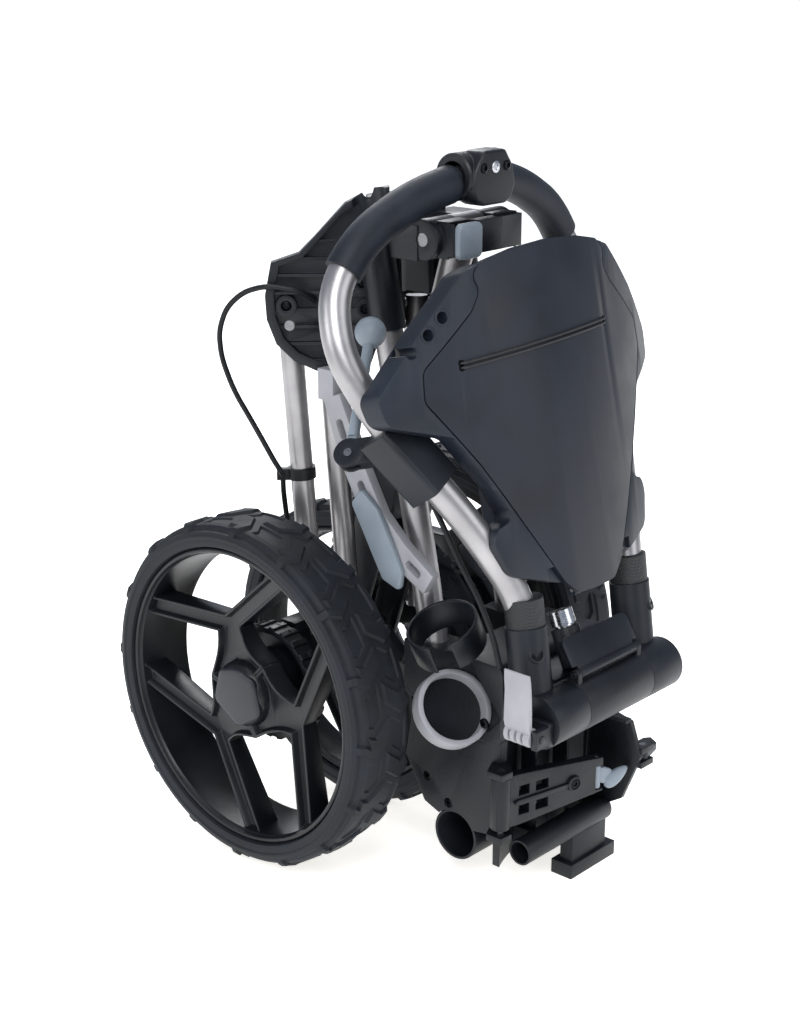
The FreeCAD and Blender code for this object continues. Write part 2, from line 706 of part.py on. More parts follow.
def handle_sleeve():
    """Socket for one leg of the loop, with its knuckle on the fold barrel."""
    line = sleeve_line()
    top = Vector(LOOP[-2]) + line * 17
    outer = Part.makeCylinder(v.sleeve_r, v.sleeve_long, top, line)
    knuckle_x = -v.fold_half
    knuckle = Part.makeCylinder(v.fold_r, v.fold_half - v.fold_core - v.side_gap,
                                Vector(knuckle_x, v.fold_y, v.fold_z), X)
    solid = outer.fuse(knuckle).removeSplitter()
    pin = Part.makeCylinder(v.pin_r, 120, FOLD - X * 100, X)
    return node(shaped("handle_sleeve_left", solid.cut([lower_loop(), pin])), "handle_sleeve_left")


def handle_collar():
    """Knurled collar above the socket."""
    line = sleeve_line()
    top = Vector(LOOP[-2]) + line * -4
    outer = Part.makeCylinder(v.sleeve_r - 1, 20.9, top, line)
    return node(shaped("handle_collar_left", outer.cut(lower_loop())), "handle_collar_left")


def fold_pin():
    """Long pin of the fold barrel, fixed in the handle's knuckles."""
    return cylinder("fold_pin", "pin_r", "2*fold_half - 1", FOLD - X * (v.fold_half - 0.5), X)


# ---------------------------------------------------------------- tray
LID_HALF = [(0, -4), (22, -3), (34, 8), (60, 52), (92, 108), (125, 158), (123, 179), (80, 213),
            (71, 226), (76, 238), (66, 246), (36, 251), (0, 253)]
TRAY_HALF = [(0, 7), (36, 8), (82, 24), (91, 48), (88, 59), (72, 64), (82, 88), (108, 130),
             (152, 146), (156, 166), (122, 205), (84, 240), (70, 244), (0, 246)]


def closed_wire(half, corner):
    """Symmetric closed outline with rounded corners."""
    pts = [Vector(a, b, 0) for a, b in half]
    pts += [Vector(-p.x, p.y, 0) for p in reversed(pts) if p.x > 1e-6]
    edges, ends = [], []
    count = len(pts)
    for k, here in enumerate(pts):
        a, b = pts[k - 1] - here, pts[(k + 1) % count] - here
        turn = math.pi - a.getAngle(b)
        if turn < 0.02:
            ends.append((here, None, here))
            continue
        back = min(corner * math.tan(turn / 2), 0.45 * min(a.Length, b.Length))
        radius = back / math.tan(turn / 2)
        start, end = here + a.normalize() * back, here + b.normalize() * back
        top = here + (a + b).normalize() * (radius / math.cos(turn / 2) - radius)
        ends.append((start, top, end))
    for k, (start, top, end) in enumerate(ends):
        before = ends[k - 1][2]
        if (start - before).Length > 1e-6:
            edges.append(Part.LineSegment(before, start).toShape())
        if top is not None:
            edges.append(Part.Arc(start, top, end).toShape())
    return Part.Wire(edges)


def tray_prism(wire, grow=0.0):
    """Outline extruded through the tray, in the tray frame."""
    if grow:
        wire = wire.makeOffset2D(grow)
    solid = Part.Face(wire).extrude(Vector(0, 0, 140))
    solid.translate(Vector(0, 0, -80))
    return solid


def bow(depth):
    """The barrel-shaped body under the tray's bowed front, depth below that front."""
    radius = v.tray_bow - depth
    return Part.makeCylinder(radius, 400, Vector(0, -60, v.tray_front - v.tray_bow), Y)


def local_box(x0, x1, y0, y1, z0, z1):
    return Part.makeBox(x1 - x0, y1 - y0, z1 - z0, Vector(x0, y0, z0))


def tray_body():
    """Tray shell on the loop: bowed rim, storage well, tee holders and thumb notches."""
    shell = tray_prism(closed_wire(TRAY_HALF, 12)).common(bow(0)).cut(bow(v.tray_thick))
    wall = v.tray_wall
    well = local_box(-58, 58, 40, 205, -38, 6).common(bow(v.lid_thick))
    room = local_box(-58 + wall, 58 - wall, 40 + wall, 205 - wall, -38 + wall, 60)
    solid = shell.fuse(well).removeSplitter().cut(room)
    lid_room = tray_prism(closed_wire(LID_HALF, 10), v.seam).fuse(local_box(-50, 50, -30, 22, -60, 60))
    solid = solid.cut(lid_room.cut(bow(v.lid_thick + 0.6)))
    for x, y in ((-104, 213), (-116, 203), (-129, 193)):
        solid = solid.cut(Part.makeCylinder(4.2, 40, Vector(x, y, -32), Z))
    lug = Part.makeCylinder(4, 8, Vector(13, -2, 3), X).fuse(local_box(13, 21, -2, 12, -1, 3))
    solid = solid.fuse([lug, lug.mirror(Vector(), X)])
    solid = solid.cut(Part.makeCylinder(1.6, 80, Vector(-40, -2, 3), X))
    solid.Placement = tray_place()
    solid = solid.cut(rod(loop_points(), v.handle_r + 0.05))
    solid = max(solid.Solids, key=lambda s: s.Volume)
    return node(shaped("tray_body", solid), "tray_body")


def tray_lid():
    """Shield-shaped lid, bowed like the tray, with its hinge knuckle at the foot."""
    plate = tray_prism(closed_wire(LID_HALF, 10)).common(bow(0)).cut(bow(v.lid_thick))
    knuckle = Part.makeCylinder(4, 25, Vector(-12.5, -2, 3), X)
    knuckle = knuckle.fuse(local_box(-12.5, 12.5, -4, 2, 3, 9.5))
    lid = plate.fuse(knuckle).removeSplitter()
    lid = lid.cut(Part.makeCylinder(1.6 + v.fit, 60, Vector(-30, -2, 3), X))
    for x, y in ((-95, 178), (60, 185)):
        for side in (-1.6, 1.6):
            lid = lid.cut(Part.makeCylinder(2.2, 60, Vector(x, y + side, -30), Z))
    lid.Placement = tray_place()
    return node(shaped("tray_lid", lid), "tray_lid")


def lid_pin():
    """Steel pin of the lid hinge."""
    at = tray_place().multVec(Vector(-20.5, -2, 3))
    return cylinder("lid_pin", "1.6", "41", at, X)


def lid_cord():
    """Elastic cord in two strands across the lid, its ends let into small holes."""
    strands = []
    for side in (-1.6, 1.6):
        points = []
        for k in range(12):
            x = -95 + 155 * k / 11
            y = 178 + 7 * k / 11 + side
            over = v.tray_front - v.tray_bow + math.sqrt(v.tray_bow ** 2 - x ** 2) + 1.35
            if k == 0:
                points.append(Vector(x, y, over - 4))
            points.append(Vector(x, y, over))
            if k == 11:
                points.append(Vector(x, y, over - 4))
        strands.append(rod(points, 1.0))
    cord = Part.makeCompound(strands)
    cord.Placement = tray_place()
    return node(shaped("lid_cord", cord), "lid_cord")


# ---------------------------------------------------------------- brake controls
def brake_housing(tray):
    """Clamp on the left leg of the loop that carries the brake lever."""
    run = (Vector(LOOP[6]) - Vector(LOOP[5])).normalize()
    front = Vector(0, -math.cos(math.radians(v.lean)), math.sin(math.radians(v.lean)))
    side = run.cross(front).normalize()
    if side.x > 0:
        side = side * -1
    normal = side.cross(run).normalize()
    place = frame_of(Vector(LOOP[5]) + run * 3, run, side)
    block = Part.makeBox(56, 30, 34, Vector(0, -15, -15))
    upright = [e for e in block.Edges if abs(e.Vertexes[0].X - e.Vertexes[-1].X) > 50]
    block = block.makeFillet(4, upright)
    block.Placement = place
    solid = block.cut(rod(loop_points(), v.handle_r))
    ear = Part.makeCylinder(11, 10, lever_pivot() - lever_axis() * 5, lever_axis())
    neck = Part.makeBox(30, 20, 10, Vector(-2, -10, -5))
    neck.Placement = frame_of(lever_pivot(), (Vector(LOOP[5]) + run * 22 - lever_pivot()), lever_axis())
    solid = solid.fuse([ear, neck.cut(rod(loop_points(), v.handle_r))]).removeSplitter()
    slot = Part.makeCylinder(13, 5.4, lever_pivot() - lever_axis() * 2.7, lever_axis())
    pin = Part.makeCylinder(3, 20, lever_pivot() - lever_axis() * 10, lever_axis())
    solid = solid.cut([slot, pin, tray.Shape])
    return node(shaped("brake_housing", max(solid.Solids, key=lambda s: s.Volume)), "brake_housing")


def lever_pivot():
    return Vector(-139, -58, 361)


def lever_axis():
    """The lever turns about the line that lies across the loop leg."""
    ball = Vector(-85, -27.5, 436)
    along = (ball - lever_pivot()).normalize()
    return along.cross(Vector(0, 1, 0.3)).normalize()


def brake_lever():
    """Lever arm with a ball knob."""
    ball = Vector(-85, -27.5, 436)
    arm_line = (ball - lever_pivot())
    arm = Part.makeCone(4.2, 4.0, arm_line.Length, lever_pivot(), arm_line)
    eye = Part.makeCylinder(8, 4.6, lever_pivot() - lever_axis() * 2.3, lever_axis())
    near = Part.makeCylinder(14, 4.6, lever_pivot() - lever_axis() * 2.3, lever_axis())
    far = Part.makeCone(4.2, 4.0, arm_line.Length, lever_pivot(), arm_line).cut(
        Part.makeCylinder(14, 40, lever_pivot() - lever_axis() * 20, lever_axis()))
    solid = eye.fuse([arm.common(near), far, Part.makeSphere(v.ball_r, ball)]).removeSplitter()
    solid = solid.cut(Part.makeCylinder(3 + v.fit, 20, lever_pivot() - lever_axis() * 10, lever_axis()))
    return node(shaped("brake_lever", solid), "brake_lever")


def lever_pin():
    """Pivot screw of the brake lever."""
    axis = lever_axis()
    return cylinder("lever_pin", "3", "11", lever_pivot() - axis * 5.5, axis)


def brake_adjuster():
    """Knurled cable adjuster at the foot of the brake housing."""
    run = (Vector(LOOP[6]) - Vector(LOOP[5])).normalize()
    at = Vector(-103, -88, 339) - run * 1.4
    return fuse("brake_adjuster", [cylinder("adjuster_body", "4.5", "10", at, run),
                                   cylinder("adjuster_tip", "2.9", "16", at, run)])


# ---------------------------------------------------------------- cables
def cable(label, points):
    """A stretch of the brake cable, held at both its ends; prints its length and tightest bend."""
    line = path(points)
    bends = [edge.Curve.Radius for edge in line.Edges if hasattr(edge.Curve, "Radius")]
    print("%s: length %.0f, tightest bend %.1f" % (label, line.Length, min(bends)))
    return node(shaped(label, rod(points, v.cable_r)), label)


LOOP_CABLE = [(-68, 45, 447), (-84, 45, 457), (-101, 64, 461), (-109, 81, 455), (-116, 92, 443),
              (-120, 97, 425), (-120, 95, 405), (-116, 87, 380), (-107, 74, 352), (-95, 65, 322), (-89, 62, 311)]
HANDLE_CABLE = [(-96.7, -95.8, 327.2), (-94, -108, 305), (-92, -119, 284), (-87, -135, 256),
                (-83.2, -145, 230), (-82, -151, 207)]
LEG_CABLE = [(-79, 73, 306), (-72, 80, 290), (-68, 80, 262), (-67, 78, 236), (-66.5, 76.5, 213)]


def cable_clip():
    """Clip that holds the cable on the outer leg tube."""
    low, high = leg_point(True, False), leg_point(True, True)
    along = (high - low).normalize()
    at = low + along * 124
    ring = Part.makeCylinder(v.leg_r + 2, 9, at, along)
    tab = Part.makeBox(12, 6, 9, Vector(0, -3, -1))
    tab.Placement = frame_of(at + W * 8 + M * 1, W, along)
    solid = ring.fuse(tab).removeSplitter().cut(Part.makeCylinder(v.leg_r, 40, at - along * 10, along))
    return node(shaped("cable_clip", solid), "cable_clip")


# ---------------------------------------------------------------- lower frame
def main_tube():
    """Left of the twin main tubes, from the lower casting up to the hip."""
    low, high = post_point(152), post_point(v.post_high_z)
    outer = cylinder("post_out", "post_r", (high - low).Length, low, post_line())
    inner = cylinder("post_in", "post_r - tube_wall", (high - low).Length, low, post_line())
    return node(cut("main_tube_left", outer, [inner]), "main_tube_left")


RING_AT, RING_AXIS = Vector(-70, -99, 157), Vector(-0.30, -0.74, 0.60).normalize()
PLUNGER_AT, PLUNGER_AXIS = Vector(-12, -166, 196), Vector(0, 0.40, 0.917).normalize()
LATCH_AT = Vector(0, -186, 197.3)
ARM_AT = Vector(-66, -141, 91)
TUBE_AT, RAIL_AT = Vector(0, -90, 42), Vector(0, -146, 42)
HOOK_AT = Vector(68, -176, 94)


def lower_casting():
    """Casting of the fold barrel, with the seats of the twin tubes and two side plates."""
    core = Part.makeCylinder(v.fold_r, 2 * v.fold_core, FOLD - X * v.fold_core, X)
    neck = Part.makeBox(76, 60, 34, Vector(-38, -168, 154))
    block = Part.makeBox(124, 60, 64, Vector(-62, -138, 132))
    upright = [e for e in block.Edges if e.Length > 100]
    block = block.makeFillet(8, upright)
    solid = core.fuse([neck, block])
    for side in (-1, 1):
        seat = Part.makeBox(30, 50, 46, Vector(side * 47 - 15, -90, 148))
        plate = slab([(-50, 150), (-40, 96), (-60, 62), (-92, 50), (-132, 56), (-136, 140)], 8,
                     frame_of((side * 56 - 4, 0, 0), Y, X))
        solid = solid.fuse([seat, plate])
    boss = Part.makeCylinder(11, 30, PLUNGER_AT - PLUNGER_AXIS * 4, PLUNGER_AXIS)
    solid = solid.fuse(boss)
    for side in (-1, 1):
        lug = Part.makeCylinder(4, 5, Vector(side * 37 - 2.5, LATCH_AT.y, LATCH_AT.z), X)
        foot = Part.makeBox(5, 8, 8, Vector(side * 37 - 2.5, LATCH_AT.y - 4, LATCH_AT.z - 8))
        solid = solid.fuse([lug, foot])
    holes = [Part.makeCylinder(v.pin_r + v.fit, 200, FOLD - X * 100, X),
             Part.makeCylinder(7.6, 60, PLUNGER_AT - PLUNGER_AXIS * 2, PLUNGER_AXIS),
             Part.makeCylinder(2, 100, LATCH_AT - X * 50, X),
             Part.makeCylinder(30.1, 40, RING_AT - RING_AXIS * 16.1, RING_AXIS),
             Part.makeCylinder(21, 200, TUBE_AT - X * 100, X)]
    for side in (-1, 1):
        low = post_point(152)
        line = post_line()
        holes.append(Part.makeCylinder(v.post_r, 100, Vector(side * v.post_x, low.y, low.z), line))
    solid = solid.cut(holes)
    for at in casting_screw_places():
        solid = solid.cut(Part.makeCylinder(v.screw_r, 3, at + X * 3, -X))
    solid = max(solid.Solids, key=lambda s: s.Volume)
    return node(shaped("lower_casting", solid), "lower_casting")


def casting_screw_places():
    return [Vector(-62, -119, 146), Vector(-60, -62, 84), Vector(-60, -84, 68)]


def casting_screws():
    """Heads of the lower casting's screws and of the holder's screw."""
    heads = [cylinder("screw", "screw_r - 0.1", "2.4", at + X * 2.9, -X) for at in casting_screw_places()]
    axis = Vector(-0.6, -0.8, 0)
    heads.append(cylinder("screw", "screw_r - 0.1", "2.4", HOLDER_EYE + axis.normalize() * 3, axis))
    return heads


def latch_plate():
    """Pull plate that frees the fold."""
    top = Vector(0, -171.5, 221)
    rise = (top - LATCH_AT)
    plate = Part.makeBox(80, rise.Length, 4, Vector(-40, 0, -2))
    upper = [e for e in plate.Edges if abs(e.Vertexes[0].Z - e.Vertexes[-1].Z) > 3
             and e.Vertexes[0].Y > rise.Length - 1]
    plate = plate.makeFillet(6, upper)
    plate.Placement = frame_of(LATCH_AT, X, X.cross(rise))
    knuckle = Part.makeCylinder(4, 68, LATCH_AT - X * 34, X)
    room = [Part.makeBox(8, 16, 14, Vector(side * 38 - 4, LATCH_AT.y - 8, LATCH_AT.z - 8))
            for side in (-1, 1)]
    solid = plate.cut(room).fuse(knuckle).removeSplitter()
    solid = solid.cut(Part.makeCylinder(2 + v.fit, 100, LATCH_AT - X * 50, X))
    return node(shaped("latch_plate", solid), "latch_plate")


def latch_pin():
    return cylinder("latch_pin", "2", "79", LATCH_AT - X * 39.5, X)


def latch_plunger():
    """Bright plunger beside the latch plate."""
    rod_part = cylinder("plunger_rod", "7.5", "40", PLUNGER_AT - PLUNGER_AXIS * 1, PLUNGER_AXIS)
    head = cylinder("plunger_head", "9.5", "11", PLUNGER_AT + PLUNGER_AXIS * 28, PLUNGER_AXIS)
    return node(fuse("latch_plunger", [rod_part, head]), "latch_plunger")


CAM_AT = Vector(-92, -181, 168)


def cam_bracket():
    """Two ears beside the left knuckle, with the cam lever's pin."""
    base = Part.makeBox(5.5, 34, 18, Vector(-84, -198, 159))
    ears = [Part.makeBox(16, 5, 14, Vector(-98, y, 161)) for y in (-198, -169)]
    pin = Part.makeCylinder(3, 36, Vector(CAM_AT.x, -199, CAM_AT.z), Y)
    solid = base.fuse(ears + [pin]).removeSplitter()
    knuckle = Part.makeCylinder(v.fold_r + 0.02, 60, FOLD - X * 110, X).common(
        Part.makeBox(20, 100, 100, Vector(-78, -240, 120)))
    return shaped("cam_bracket", solid.cut(knuckle))


def cam_lever():
    """Quick-release lever, flat against the side at rest."""
    eye = Part.makeCylinder(7, 23, Vector(CAM_AT.x, -192.5, CAM_AT.z), Y)
    arm = slab([(-4, 0), (-7, 14), (-6.5, 34), (-9, 46), (-7, 50), (-3, 36), (-2, 14), (2, 4)], 23,
               frame_of((CAM_AT.x, -169.5, CAM_AT.z), X, -Y))
    solid = eye.fuse(arm).removeSplitter()
    solid = solid.cut(Part.makeCylinder(3 + v.fit, 60, Vector(CAM_AT.x, -210, CAM_AT.z), Y))
    return node(shaped("cam_lever", solid), "cam_lever")


def accessory_ring():
    """Pale tilted socket ring on the left of the lower casting, closed by a disc."""
    back = RING_AT - RING_AXIS * 14
    cup = Part.makeCylinder(25.5, 40, back + RING_AXIS * 3, RING_AXIS)
    solid = Part.makeCylinder(30, 14, back, RING_AXIS).cut(cup)
    solid = solid.cut(Part.makeCylinder(v.post_r + 0.1, 80, post_point(130), post_line()))
    solid = max(solid.Solids, key=lambda s: s.Volume)
    return node(shaped("accessory_ring", solid), "accessory_ring")


HOLDER_AT, HOLDER_AXIS = Vector(-74, -93, 214), Vector(-0.42, 0.05, 0.90).normalize()
HOLDER_EYE = Vector(-50, -81, 262)


def holder_band():
    """Open band of the side holder, with its tongue and screw eye."""
    base = HOLDER_AT - HOLDER_AXIS * 12
    hollow = Part.makeCylinder(25.2, 60, base - HOLDER_AXIS * 5, HOLDER_AXIS)
    ring = Part.makeCylinder(28, 24, base, HOLDER_AXIS).cut(hollow)
    gap = Part.makeBox(40, 16, 80, Vector(10, -8, -40))
    gap.Placement = frame_of(HOLDER_AT, Vector(-0.8, -0.6, -0.3), HOLDER_AXIS)
    axis = Vector(-0.6, -0.8, 0).normalize()
    eye = Part.makeCylinder(11, 6, HOLDER_EYE, axis)
    spur = Part.makeCylinder(6, 36, HOLDER_EYE + axis * 2, Vector(0.12, 1, 0))
    tongue_start = HOLDER_AT + Vector(20, 14, 20)
    down = tongue_start - HOLDER_EYE
    tongue = slab([(-6, -9), (down.Length, -14), (down.Length, 14), (-6, 9)], 3.5,
                  frame_of(HOLDER_EYE, down, axis.cross(down).cross(down) * -1))
    window = slab([(16, -5), (30, -6), (30, 6), (16, 5)], 20,
                  frame_of(HOLDER_EYE - axis * 8, down, axis.cross(down).cross(down) * -1))
    solid = ring.cut(gap).fuse([eye, spur, tongue.cut(window)]).removeSplitter()
    solid = solid.cut([Part.makeCylinder(v.post_r, 300, post_point(150), post_line()),
                       Part.makeCylinder(v.screw_r, 9, HOLDER_EYE + axis * 3, axis)])
    return node(shaped("holder_band", max(solid.Solids, key=lambda s: s.Volume)), "holder_band")


STRAP = [(22, 378), (1, 330), (-22, 290), (-46, 268), (-76, 250)]


def strap(cover):
    """Moulded bag strap, stowed along the frame, with oval holes."""
    spine = [Vector(0, y, z) for y, z in STRAP]
    left, right = [], []
    for k, here in enumerate(spine):
        run = (spine[min(k + 1, len(spine) - 1)] - spine[max(k - 1, 0)]).normalize()
        side = run.cross(X)
        half = 11 if 0 < k < len(spine) - 1 else 9
        left.append((here + side * half))
        right.append((here - side * half))
    outline = [(p.y, p.z) for p in left] + [(p.y, p.z) for p in reversed(right)]
    solid = slab(outline, 8, frame_of((-76, 0, 0), Y, X))
    for start, end in zip(spine, spine[1:]):
        middle, run = (start + end) * 0.5, (end - start).normalize()
        hole = slab([(-8, -3.5), (8, -3.5), (8, 3.5), (-8, 3.5)], 20,
                    frame_of(middle - X * 86, run, X), 3)
        solid = solid.cut(hole)
    lug = Part.makeBox(30, 16, 24, Vector(-76, 20, 374))
    solid = solid.fuse(lug.cut(cover.Shape)).removeSplitter()
    return node(shaped("strap", max(solid.Solids, key=lambda s: s.Volume)), "strap")


def strap_tab():
    """Pale pull tab at the strap's free end."""
    solid = slab([(-12, 313), (-2, 300), (-34, 246), (-52, 240), (-54, 256), (-30, 300)], 5,
                 frame_of((-81.05, 0, 0), Y, X), 4)
    return node(shaped("strap_tab", solid), "strap_tab")


def bag_saddle(casting):
    """Ribbed saddle that the bag rests in, with the arm's lugs and its right wing."""
    half = 56
    centre = Vector(0, -250, 28)
    arc = Part.makeCylinder(136, 104, centre, Z).cut(Part.makeCylinder(130, 104, centre, Z))
    shell = arc.common(Part.makeBox(2 * half, 60, 104, Vector(-half, -150, 28)))
    pieces = [shell]
    for k in range(5):
        x = -40 + 20 * k
        pieces.append(Part.makeBox(2.4, 14, 96, Vector(x - 1.2, -136 - abs(x) * 0.14, 32)))
    for z in (59.5, 111.5):
        plate = slab([(-74, -148), (-74, -134), (-50, -122), (-50, -134), (-62, -149)], 5,
                     Placement(Vector(0, 0, z), Rotation()))
        pieces.append(plate)
    wing = slab([(-132, 34), (-166, 56), (-182, 96), (-172, 124), (-132, 132)], 4, frame_of((56, 0, 0), Y, X))
    pieces.append(wing)
    for long, z in ((44, 124), (16, 42)):
        pieces.append(Part.makeBox(7, long, 3, Vector(50, -128 - long if long > 20 else -148, z)))
    for x in (-26, 20):
        pieces.append(Part.makeBox(6, 24, 14, Vector(x, -141, 35)))
    solid = pieces[0].fuse(pieces[1:]).removeSplitter()
    for z in (85.5, 97.5):
        lug = Part.makeBox(16, 12, 5, Vector(59, -182, z))
        solid = solid.fuse(lug)
    solid = solid.cut([Part.makeCylinder(3, 80, Vector(ARM_AT.x, ARM_AT.y, 50), Z),
                       Part.makeCylinder(2.5, 40, Vector(HOOK_AT.x, HOOK_AT.y, 75), Z),
                       Part.makeCylinder(10.5, 140, RAIL_AT - X * 60, X)])
    solid = solid.cut(casting.Shape)
    return node(shaped("bag_saddle", max(solid.Solids, key=lambda s: s.Volume)), "bag_saddle")


def arm_pins():
    """Pins of the bag arm and of the strap hook, fixed in the saddle's lugs."""
    return [cylinder("arm_pin_rod", "3", "57", (ARM_AT.x, ARM_AT.y, 59.5), Z),
            cylinder("hook_pin_rod", "2.5", "17", (HOOK_AT.x, HOOK_AT.y, 85.5), Z)]


ARM_TURN = -15


def bag_arm():
    """Hinged arm that holds the bag, folded across the saddle."""
    outline = [(-7, -22), (14, -22), (50, -19), (95, -15), (95, 13), (50, 17), (14, 20), (-7, 20)]
    plate = slab(outline, 8, Placement(Vector(0, 4, 0), Rotation(X, 90)))
    knuckle = Part.makeCylinder(7.5, 42, Vector(0, 0, -22), Z)
    solid = plate.fuse(knuckle).removeSplitter()
    for x0, x1, z0, z1 in ((14, 24, 2, 10), (14, 24, -14, -6), (30, 42, 2, 10), (30, 42, -14, -6)):
        solid = solid.cut(Part.makeBox(x1 - x0, 40, z1 - z0, Vector(x0, -20, z0)))
    solid = solid.cut(Part.makeCylinder(3 + v.fit, 80, Vector(0, 0, -40), Z))
    solid = solid.cut(Part.makeBox(9, 20, 20, Vector(88, -10, -13.5)))
    solid = solid.cut(Part.makeCylinder(2 + v.fit, 60, Vector(91.5, 0, -30), Z))
    solid.Placement = Placement(ARM_AT, Rotation(Z, ARM_TURN))
    return node(shaped("bag_arm", solid), "bag_arm")


def arm_clip():
    """Pale hook clip with a paddle, turning at the arm's end on a pin moulded into it."""
    eye = Part.makeCylinder(3.4, 19, Vector(91.5, 0, -13), Z)
    pin = Part.makeCylinder(2, 27, Vector(91.5, 0, -14.5), Z)
    blade = Part.makeBox(26, 3.4, 12, Vector(93, -1.7, -12))
    tip = Part.makeCylinder(9, 3.4, Vector(113, 1.7, -8), -Y)
    solid = eye.fuse([pin, blade, tip]).removeSplitter()
    solid.Placement = Placement(ARM_AT, Rotation(Z, ARM_TURN))
    return node(shaped("arm_clip", solid), "arm_clip")


def strap_hook():
    """Small hinged hook on the right wing."""
    eye = Part.makeCylinder(5, 6.2, Vector(0, 0, -3.1), Z)
    outline = [(0, -5), (18, -7), (26, 0), (22, 6), (16, 2), (0, 5)]
    blade = slab(outline, 6.2, Placement(Vector(0, 0, -3.1), Rotation()))
    solid = eye.fuse(blade).removeSplitter().cut(Part.makeCylinder(2.5 + v.fit, 30, Vector(0, 0, -15), Z))
    solid.Placement = Placement(Vector(HOOK_AT.x, HOOK_AT.y, 94), Rotation(Z, 20))
    return node(shaped("strap_hook", solid), "strap_hook")


def cross_tubes():
    """Open cross tubes under the casting: a wide one and the foot's thin one."""
    wide_out = cylinder("wide_out", "20.9", "2*58", TUBE_AT - X * 58, X)
    wide_in = cylinder("wide_in", "18.4", "2*58", TUBE_AT - X * 58, X)
    wide = cut("wide_cross_tube", wide_out, [wide_in])
    thin_out = cylinder("thin_out", "10.4", "106", RAIL_AT - X * 48, X)
    thin_in = cylinder("thin_in", "8.4", "106", RAIL_AT - X * 48, X)
    return gathered("cross_tubes", wide, cut("thin_cross_tube", thin_out, [thin_in]))


def foot_rail():
    """Foot that the folded trolley leans on."""
    base = Part.makeBox(58, 20, 12, Vector(6, -156, 0))
    web = Part.makeBox(44, 12, 26, Vector(12, -152, 10))
    solid = base.fuse(web).removeSplitter()
    solid = solid.cut(Part.makeCylinder(10.45, 200, RAIL_AT - X * 100, X))
    return node(shaped("foot_rail", max(solid.Solids, key=lambda s: s.Volume)), "foot_rail")


# ---------------------------------------------------------------- assembly
def build():
    """Makes every sub-part, the left of each pair first."""
    core = hip_core()
    left_cover = hip_cover(core)
    pairs = [tyre("tyre_left", AXLE, v.wheel_r, v.wheel_wide, 16),
             rim("rim_left", AXLE, v.wheel_r, v.wheel_wide, -1), hub_cap(), bearings(),
             leg("leg_outer_left", True), leg("leg_inner_left", False), hub_bracket(), left_cover,
             gathered("knuckle_pins_left", stub_axle(), *hub_pins())]
    for source in pairs:
        mirrored(source.Label.replace("_left", "_right"), source)
    drum(), brake_pin()

    tyre("front_tyre", FRONT, v.front_r, v.front_wide, 15)
    rim("front_rim", FRONT, v.front_r, v.front_wide, -1)
    front_bearings(), fork_tube(), fork_crown(), front_axle()

    sets = {"main_tubes": main_tube(), "handle_sleeves": handle_sleeve(),
            "handle_collars": handle_collar(), "grips": grip()}
    for label, source in sets.items():
        extra = [cam_bracket()] if label == "handle_sleeves" else []
        gathered(label, source, mirrored(label + "_right", source), *extra)
    release_button()
    casting = lower_casting()
    gathered("casting_screws", *hip_screws(), *casting_screws())
    left_pins = gathered("hip_pins_left", *hip_pins())
    fork_pin = cylinder("fork_pin", "pin_r", "2*barrel_half", BARREL - X * v.barrel_half, X)
    gathered("frame_pins", left_pins, mirrored("hip_pins_right", left_pins), fork_pin, latch_pin(),
             *arm_pins())

    handle_loop(), loop_clamp()
    gathered("handle_fittings", brake_adjuster(), *clamp_screws())
    gathered("handle_pins", fold_pin(), lid_pin(), lever_pin())
    tray = tray_body()
    tray_lid(), lid_cord(), brake_housing(tray), brake_lever()
    cable("cable_handle", HANDLE_CABLE), cable("cable_loop", LOOP_CABLE)
    gathered("cable_leg", cable("cable_leg_run", LEG_CABLE), cable_clip())
    latch_plate(), latch_plunger(), cam_lever()
    accessory_ring(), holder_band(), strap(left_cover), strap_tab()
    bag_saddle(casting), bag_arm(), arm_clip(), strap_hook(), cross_tubes(), foot_rail()


def export():
    """Checks every object, then writes one STEP file per sub-part."""
    doc.recompute()
    broken = [o.Label for o in doc.Objects if {"Invalid", "Error"} & set(o.State)]
    if broken:
        raise RuntimeError("failed objects: " + ", ".join(broken))
    os.makedirs("parts", exist_ok=True)
    for obj in NODES:
        if obj.Shape.isNull() or not obj.Shape.isValid():
            raise RuntimeError("bad shape: " + obj.Label)
    for obj in NODES:
        obj.Shape.exportStep(os.path.join("parts", obj.Label + ".step"))
    print(len(NODES), "sub-parts")
    for obj in NODES:
        b = obj.Shape.BoundBox
        print("%-22s solids %d vol %.0f  x %.1f %.1f  y %.1f %.1f  z %.1f %.1f" % (
            obj.Label, len(obj.Shape.Solids), obj.Shape.Volume, b.XMin, b.XMax, b.YMin, b.YMax, b.ZMin, b.ZMax))


build()
export()
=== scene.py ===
import json
import logging
from dataclasses import dataclass, field
from enum import Enum
from math import atan2, cos, hypot, pi, radians, sin, sqrt, tau
from typing import Callable, Sequence

import bmesh
import bpy
from bmesh.types import BMesh, BMFace, BMVert
from bpy.types import Material, Node, NodeSocket, NodeTree, Object
from mathutils import Matrix, Vector
from mathutils.bvhtree import BVHTree

